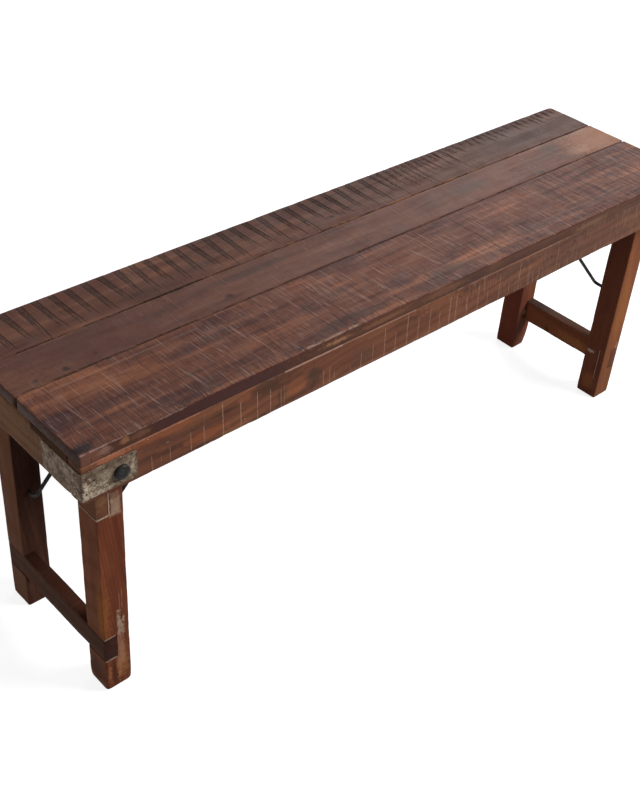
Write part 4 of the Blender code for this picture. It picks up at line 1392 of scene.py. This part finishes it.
def strapMesh(node, outer, signs, sideRun, endRun, low, high):
    path = strapPath(sideRun, endRun)
    steps = np.gradient(path, axis=0)
    steps /= np.linalg.norm(steps, axis=1)[:, None]
    inward = np.stack([steps[:, 1], -steps[:, 0]], axis=1)
    heights = np.linspace(0, 1, round((high.z - low.z) / strap["step"]) + 1)
    travel = np.concatenate([[0], np.cumsum(np.linalg.norm(np.diff(path, axis=0), axis=1))])
    seed = sum(ord(letter) for letter in node)
    grid = np.zeros((2, len(path), len(heights), 3))
    for layer, inset in enumerate((0, strap["thickness"])):
        for axis in (0, 1):
            grid[layer, :, :, axis] = (outer[axis] + signs[axis] * (path + inward * inset)[:, axis])[:, None]
        grid[layer, :, :, 2] = low.z + (high.z - low.z) * heights
    # Hammered dents on the outer skin, and a ragged edge all round.
    skin = grid[0].reshape(-1, 3)
    dents = strap["dent"] * softNoise(skin, strap["dentScale"], seed)
    dents += strap["dent"] * strap["pit"] * softNoise(skin, strap["pitScale"], seed + 1)
    dents = dents.reshape(len(path), len(heights))
    for axis in (0, 1):
        grid[0, :, :, axis] += signs[axis] * inward[:, None, axis] * dents
    along = np.stack([travel * strap["ragScale"], travel * 0, travel * 0], 1)
    bottomRag, topRag = (strap["ragged"] * softNoise(along, 1, seed + more) for more in (2, 3))
    clip = strap["clip"]
    fromEnd = np.clip(clip - np.minimum(travel, travel[-1] - travel), 0, None)
    clipped = clip - np.sqrt(np.clip(clip ** 2 - fromEnd ** 2, 0, None))
    loose = np.clip(1 - 2.5 * travel / sideRun, 0, 1) ** 1.5
    bottom = low.z + bottomRag + clipped
    top = high.z - topRag - clipped - strap["sag"] * loose
    grid[:, :, :, 2] = bottom[None, :, None] + (top - bottom)[None, :, None] * heights[None, None, :]
    # One closed ring of points up the outer skin and down the inner one, at each place on the path.
    rows = np.concatenate([grid[0], grid[1][:, ::-1]], axis=1)
    if signs[0] * signs[1] < 0:
        rows = rows[:, ::-1]
    return meshFromGrid(node, rows)


def buildStrap(node):
    low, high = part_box(node)
    outerX, innerX = (low.x, high.x) if low.x < 0 else (high.x, low.x)
    outerY, innerY = (low.y, high.y) if low.y < 0 else (high.y, low.y)
    signX = 1 if innerX > outerX else -1
    signY = 1 if innerY > outerY else -1
    sideRun, endRun = abs(innerX - outerX), abs(innerY - outerY)
    mesh = strapMesh(node, (outerX, outerY), (signX, signY), sideRun, endRun, low, high)

    tall = high.z - low.z
    nails = []
    for along, share in strap["sideNails"]:
        height = low.z + tall * share + strap["nailRise"]
        nails.append((1, Vector((outerX + signX * along, outerY, height)), signY))
    for along, share in strap["endNails"]:
        nails.append((0, Vector((outerX, outerY + signY * along, low.z + tall * share)), signX))
    cutters = [boltHole(node.replace("strap", "pivot_bolt"))]
    heads = []
    gap, deep = strap["nailRadius"] + strap["nailGap"], strap["nailHoleReach"]
    for axis, centre, sign in nails:
        cutters.append(pin("nailHole", gap, deep, 16, axis, centre))
        heads.append(nailHead(axis, centre, sign))
    mesh = cutAway(mesh, cutters)
    marks = []
    for along, height, wide, tallness, *how in strap["marks"]:
        at = (outerX + signX * along, outerY, low.z + height)
        marks.append(spot(at, (wide, strap["markDepth"], tallness), *how))
    look = {**strapIron, "creamAt": (outerX, outerY, low.z), "creamSize": (0.06, 0.03, 0.05), "spots": marks}
    replaceNode(node, "_hammered", mesh, strapMaterial(node + "_coat", look))
    addPiece(node + "_nails", joinMeshes(node + "_nails", heads), ironNail, "bench_top")


def nailHead(axis, centre, sign):
    # A domed head a little below the strap's face, on a shank that goes into the wood. sign points inwards.
    radius, sink, length = strap["nailRadius"], strap["nailSink"], strap["nailLength"]
    profile = [
        (0.0002, sink), (radius * 0.5, sink + 0.00005), (radius * 0.85, sink + 0.0002),
        (radius, sink + 0.0005), (radius, 0.0011), (radius * 0.5, 0.0012), (radius * 0.45, 0.012),
        (0.0002, length),
    ]
    if sign < 0:
        profile = [(r, -along) for r, along in reversed(profile)]
    return turnedMesh("nail", profile, 20, axis, centre)


def joinMeshes(name, meshes):
    points, faces = [], []
    for mesh in meshes:
        start = len(points)
        points += [tuple(vertex.co) for vertex in mesh.vertices]
        faces += [[start + index for index in face.vertices] for face in mesh.polygons]
        bpy.data.meshes.remove(mesh)
    joined = bpy.data.meshes.new(name)
    joined.from_pydata(points, [], faces)
    joined.update()
    return joined


for node in sorted(name for name in frame["nodes"] if name.startswith("strap_")):
    buildStrap(node)
print("straps built")


bolt = {
    "headRadius": 0.0105, "headHeight": 0.005, "shankRadius": 0.005, "steps": 48, "threadPitch": 0.0015,
    "threadDepth": 0.0006, "threadLength": 0.017, "plainTip": 0.001, "hammer": 0.00025, "hammerScale": 260,
}


def buildBolt(node):
    low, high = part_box(node)
    centre = (low + high) / 2
    outward = -1 if centre.y < 0 else 1
    length = high.y - low.y
    head, tall, shank = bolt["headRadius"], bolt["headHeight"], bolt["shankRadius"]
    thread, pitch = bolt["threadLength"], bolt["threadPitch"]
    # Ways in from the head's face, and the radius there.
    profile = [
        (0.0004, 0.0001), (head * 0.3, 0.0), (head * 0.62, 0.0001), (head * 0.8, 0.0004),
        (head * 0.92, 0.0009), (head, 0.002), (head, tall - 0.0006), (head * 0.97, tall), (shank, tall),
        (shank, length * 0.4),
    ]
    profile += [(shank, along) for along in np.arange(length - thread, length - bolt["plainTip"], pitch / 6)]
    profile += [(shank * 0.8, length - 0.0004), (shank * 0.7, length), (0.0004, length)]
    ways = [(radius, outward * (length / 2 - along)) for radius, along in profile]
    if outward > 0:
        ways.reverse()
    mesh = turnedMesh(node, ways, bolt["steps"], 1, centre)
    points = readPoints(mesh)
    inFromHead = length / 2 - outward * (points[:, 1] - centre.y)
    angle = np.arctan2(points[:, 2] - centre.z, points[:, 0] - centre.x)
    phase = np.mod(inFromHead / pitch - angle / (2 * pi), 1)
    threaded = (inFromHead > length - thread) & (inFromHead < length - bolt["plainTip"])
    cut = bolt["threadDepth"] * np.abs(2 * phase - 1) * threaded
    across = points[:, [0, 2]] - np.array([centre.x, centre.z])
    shrink = 1 - cut / np.maximum(np.linalg.norm(across, axis=1), 0.001)
    points[:, 0] = centre.x + across[:, 0] * shrink
    points[:, 2] = centre.z + across[:, 1] * shrink
    seed = 7 + len(node) + int(centre.x > 0)
    hammered = bolt["hammer"] * softNoise(points, bolt["hammerScale"], seed) * (inFromHead < tall * 0.5)
    points[:, 1] -= outward * hammered
    writePoints(mesh, points)
    replaceNode(node, "_forged", mesh, ironBlack, 40)


nut = {"corner": 0.0014, "steps": 48, "dish": 0.0008, "bore": 0.0053, "edge": 0.0006}


def buildNut(node):
    # A six-sided bar whose corners are turned off at both faces, with a dished bore.
    low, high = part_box(node)
    centre = (low + high) / 2
    half, radius, flats = ((high - low) / 2).yzx
    steps, corner, dish, bore, edge = (nut[key] for key in ("steps", "corner", "dish", "bore", "edge"))
    angles = np.arange(steps) * 2 * pi / steps
    pointUp = pi / 2 if radius > flats else 0
    least = min(radius, flats)
    hexagon = least / np.cos((angles - pointUp + pi / 6) % (pi / 3) - pi / 6)
    chamfer = least + corner * 0.4
    # The size of each layer and its place; a layer without a size has the full six sides.
    layers = [
        (bore, half - dish), (bore + edge, half - 0.0001), (least * 0.93, half), (chamfer, half - edge),
        (None, half - corner),
    ]
    layers += [(size, -along) for size, along in reversed(layers)]
    rows = np.zeros((len(layers), steps, 3))
    for row, (size, along) in zip(rows, layers[::-1]):
        reach = hexagon if size is None else np.minimum(size, hexagon)
        row[:, 0] = centre.x + reach * np.sin(angles)
        row[:, 1] = centre.y + along
        row[:, 2] = centre.z + reach * np.cos(angles)
    faces = []
    for i in range(len(layers)):
        here, beyond = i * steps, (i + 1) % len(layers) * steps
        for j in range(steps):
            k = (j + 1) % steps
            faces.append((here + j, here + k, beyond + k, beyond + j))
    mesh = bpy.data.meshes.new(node)
    mesh.from_pydata(rows.reshape(-1, 3).tolist(), [], faces)
    mesh.update()
    replaceNode(node, "_chamfered", mesh, ironBlack, 25)


for node in sorted(frame["nodes"]):
    if node.startswith("pivot_bolt_"):
        buildBolt(node)
    if node.startswith("pivot_nut_"):
        buildNut(node)
print("bolts and nuts built")


rod = {
    "radius": 0.003, "bend": 0.008, "rearStub": 0.015, "frontStub": 0.025, "spacing": 0.004, "steps": 8,
    "wornShare": 0.05, "wearScale": 90, "seed": 5, "roundness": 5,
}


def roundCorner(before, corner, after, radius, steps):
    toBefore = (before - corner).normalized()
    toAfter = (after - corner).normalized()
    half = toBefore.angle(toAfter) / 2
    centre = corner + (toBefore + toAfter).normalized() * (radius / sin(half))
    start = (corner + toBefore * (radius / tan(half)) - centre).normalized()
    end = (corner + toAfter * (radius / tan(half)) - centre).normalized()
    return [centre + start.slerp(end, i / steps) * radius for i in range(steps + 1)]


def runTo(route, target):
    # Points every so often from the end of the route to the target, which is the last of them.
    run = target - route[-1]
    count = max(1, round(run.length / rod["spacing"]))
    return [route[-1] + run * (i / count) for i in range(1, count + 1)]


def buildRod(end):
    node = f"stay_rod_{end}"
    low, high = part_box(node)
    hinge = Vector(jointPlace(end + "_stay_swing"))
    barX = high.x - rod["radius"] if end == "left" else low.x + rod["radius"]
    barZ = high.z - rod["radius"]
    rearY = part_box(f"leg_rear_{end}")[0].y - rod["rearStub"]
    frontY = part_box(f"leg_front_{end}")[1].y + rod["frontStub"]
    corners = [
        Vector((hinge.x, high.y, hinge.z)), Vector((hinge.x, rearY, hinge.z)), Vector((barX, rearY, barZ)),
        Vector((barX, frontY, barZ)), Vector((hinge.x, frontY, hinge.z)), Vector((hinge.x, low.y, hinge.z)),
    ]
    route = [corners[0]]
    for before, corner, after in zip(corners, corners[1:], corners[2:]):
        bent = roundCorner(before, corner, after, rod["bend"], rod["steps"])
        route += runTo(route, bent[0])[:-1] + bent
    route += runTo(route, corners[-1])
    curve = bpy.data.curves.new(node, "CURVE")
    curve.dimensions = "3D"
    curve.bevel_depth = rod["radius"]
    curve.bevel_resolution = rod["roundness"]
    curve.use_fill_caps = True
    spline = curve.splines.new("POLY")
    spline.points.add(len(route) - 1)
    wear = softNoise(np.array(route), rod["wearScale"], rod["seed"])
    for point, place, loss in zip(spline.points, route, wear):
        point.co = (*place, 1)
        point.radius = 1 - rod["wornShare"] * loss
    spline.use_smooth = True
    replaceNode(node, "_forged", curve, ironBlack)


for end in ends:
    buildRod(end)
print("rods built")


# Under the seat: washers, strips and cleats keep their solids, with a finish and eased edges.

sharperThan = radians(40)


def finishNode(node, material, edge):
    piece = frame["nodes"][node]
    piece.data.materials.clear()
    piece.data.materials.append(material)
    bevel = piece.modifiers.new("easedEdges", "BEVEL")
    bevel.width = edge
    bevel.segments = 2
    bevel.limit_method = "ANGLE"
    bevel.angle_limit = sharperThan


for node in sorted(frame["nodes"]):
    if "washer" in node or node.startswith("rod_strip_"):
        finishNode(node, ironBlack, 0.0002)


cleat = {
    "look": {
        "grain": "Y", "light": (0.2, 0.12, 0.07), "middle": (0.13, 0.075, 0.046),
        "dark": (0.06, 0.033, 0.022), "shift": (0.1, 0.3, -0.41), "rings": 0.4,
    },
    "screwsY": (-0.066, 0.0, 0.066), "screwShare": 0.72, "screwRadius": 0.0034, "screwProud": 0.0001,
    "slotWidth": 0.001, "slotDepth": 0.0006,
}
strip = {
    "screwsY": (-0.0055, 0.0055), "screwIn": 0.011, "screwSink": 0.0015, "screwRadius": 0.0026,
    "screwProud": 0.0007,
}


def screwHead(centre, radius, proud):
    # A slotted head seen from below, its face a little proud of the surface it is sunk into.
    x, y, z = centre
    profile = [
        (0.0002, z - proud), (radius * 0.7, z - proud), (radius * 0.95, z - proud * 0.5), (radius, z),
        (radius * 0.5, z + 0.002), (radius * 0.45, z + 0.008), (0.0002, z + 0.01),
    ]
    mesh = turnedMesh("screw", profile, 24, 2, (x, y, 0))
    face = z - proud
    half = Vector((radius * 1.2, cleat["slotWidth"] / 2, 0))
    slot = boxCutter((-half.x, -half.y, face - 0.001), (half.x, half.y, face + cleat["slotDepth"]))
    slot.transform(Matrix.Translation((x, y, 0)) @ Matrix.Rotation(y * 40 + x * 25, 4, "Z"))
    return cutAway(mesh, [slot])


def finishCatch(end):
    node = f"rod_cleat_{end}"
    low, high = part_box(node)
    inner, outer, away = (high.x, low.x, 1) if end == "left" else (low.x, high.x, -1)
    x = outer + (inner - outer) * cleat["screwShare"]
    screws = [screwHead((x, y, low.z), cleat["screwRadius"], cleat["screwProud"]) for y in cleat["screwsY"]]
    low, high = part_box(f"rod_strip_{end}")
    x = (low.x if end == "left" else high.x) + away * strip["screwIn"]
    for across in strip["screwsY"]:
        centre = (x, (low.y + high.y) / 2 + across, high.z - strip["screwSink"])
        screws.append(screwHead(centre, strip["screwRadius"], strip["screwProud"]))
    name = f"catch_screws_{end}"
    addPiece(name, joinMeshes(name, screws), ironNail, "bench_top")


for end in ends:
    node = f"rod_cleat_{end}"
    finishNode(node, woodMaterial(node + "_wood", *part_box(node), cleat["look"]), 0.0003)
for end in ends:
    finishCatch(end)
print("catches finished")


# The room: a pale floor, white surroundings, soft lamps, and the camera at the photograph's angle.

room = {
    "surround": 0.16, "floorSize": 14, "floorTone": (0.36, 0.36, 0.36), "floorLift": 0.84,
    "floorDrop": 0.0002,
}
lamps = {
    "key": {"at": (1.9, -1.9, 2.5), "size": 1.9, "power": 160},
    "sheen": {"at": (2.6, 1.7, 1.9), "size": 1.8, "power": 36},
    "fill": {"at": (-3.2, 0.7, 0.9), "size": 1.6, "power": 22},
}
lampsAim = Vector((0, 0, 0.35))
camera = {
    "at": (-1.13433442, -1.06453520, 1.36340662), "heading": -44.801, "tilt": 52.3427, "roll": 4.549,
    "lens": 54.6, "sensor": 36, "farthest": 60,
}


def emptyTree(owner):
    owner.use_nodes = True
    owner.node_tree.nodes.clear()
    return owner.node_tree


def seenDirectly(tree):
    # One for rays from the camera or a mirror or through glass, nought for the light that lands on things.
    rays = put(tree, "LightPath")
    return larger(larger(rays["Is Camera Ray"], rays["Is Glossy Ray"]), rays["Is Transmission Ray"])


def buildSurround():
    world = bpy.data.worlds.new("studio")
    bpy.context.scene.world = world
    tree = emptyTree(world)
    seen = seenDirectly(tree)
    lit = put(tree, "Background", {"Color": (1, 1, 1), "Strength": room["surround"]})[0]
    shown = put(tree, "Background", {"Color": (1, 1, 1), "Strength": 1})[0]
    put(tree, "OutputWorld", {"Surface": put(tree, "MixShader", {0: seen, 1: lit, 2: shown})[0]})


def buildFloor():
    half, drop = room["floorSize"] / 2, room["floorDrop"]
    mesh = bpy.data.meshes.new("floor")
    corners = [(x, y, -drop) for x, y in ((-half, -half), (half, -half), (half, half), (-half, half))]
    mesh.from_pydata(corners, [], [(0, 1, 2, 3)])
    floor = placeObject("floor", mesh)
    material = bpy.data.materials.new("pale_floor")
    tree = emptyTree(material)
    seen = seenDirectly(tree)
    paint = put(tree, "BsdfDiffuse", {"Color": room["floorTone"]})[0]
    lift = put(tree, "Emission", {"Color": (1, 1, 1), "Strength": room["floorLift"]})[0]
    lifted = put(tree, "AddShader", {0: paint, 1: lift})[0]
    whole = put(tree, "MixShader", {0: seen, 1: paint, 2: lifted})[0]
    clear = put(tree, "BsdfTransparent")[0]
    fromBelow = put(tree, "NewGeometry")["Backfacing"]
    put(tree, "OutputMaterial", {"Surface": put(tree, "MixShader", {0: fromBelow, 1: whole, 2: clear})[0]})
    mesh.materials.append(material)


def hangLamp(name, lamp):
    data = bpy.data.lights.new(name, "AREA")
    data.shape = "DISK"
    data.size = lamp["size"]
    data.energy = lamp["power"]
    light = placeObject(name, data)
    light.location = lamp["at"]
    light.rotation_euler = (lampsAim - light.location).to_track_quat("-Z", "Y").to_euler()


def placeCamera():
    data = bpy.data.cameras.new("camera")
    data.lens = camera["lens"]
    data.sensor_width = camera["sensor"]
    data.clip_end = camera["farthest"]
    item = placeObject("camera", data)
    turn = Matrix.Rotation(radians(camera["heading"]), 4, "Z")
    turn = turn @ Matrix.Rotation(radians(camera["tilt"]), 4, "X")
    turn = turn @ Matrix.Rotation(radians(camera["roll"]), 4, "Z")
    item.matrix_world = Matrix.Translation(camera["at"]) @ turn
    bpy.context.scene.camera = item


buildSurround()
buildFloor()
for name, lamp in lamps.items():
    hangLamp(name, lamp)
placeCamera()
bpy.context.scene.view_settings.view_transform = "Standard"
print("room, lamps and camera ready")
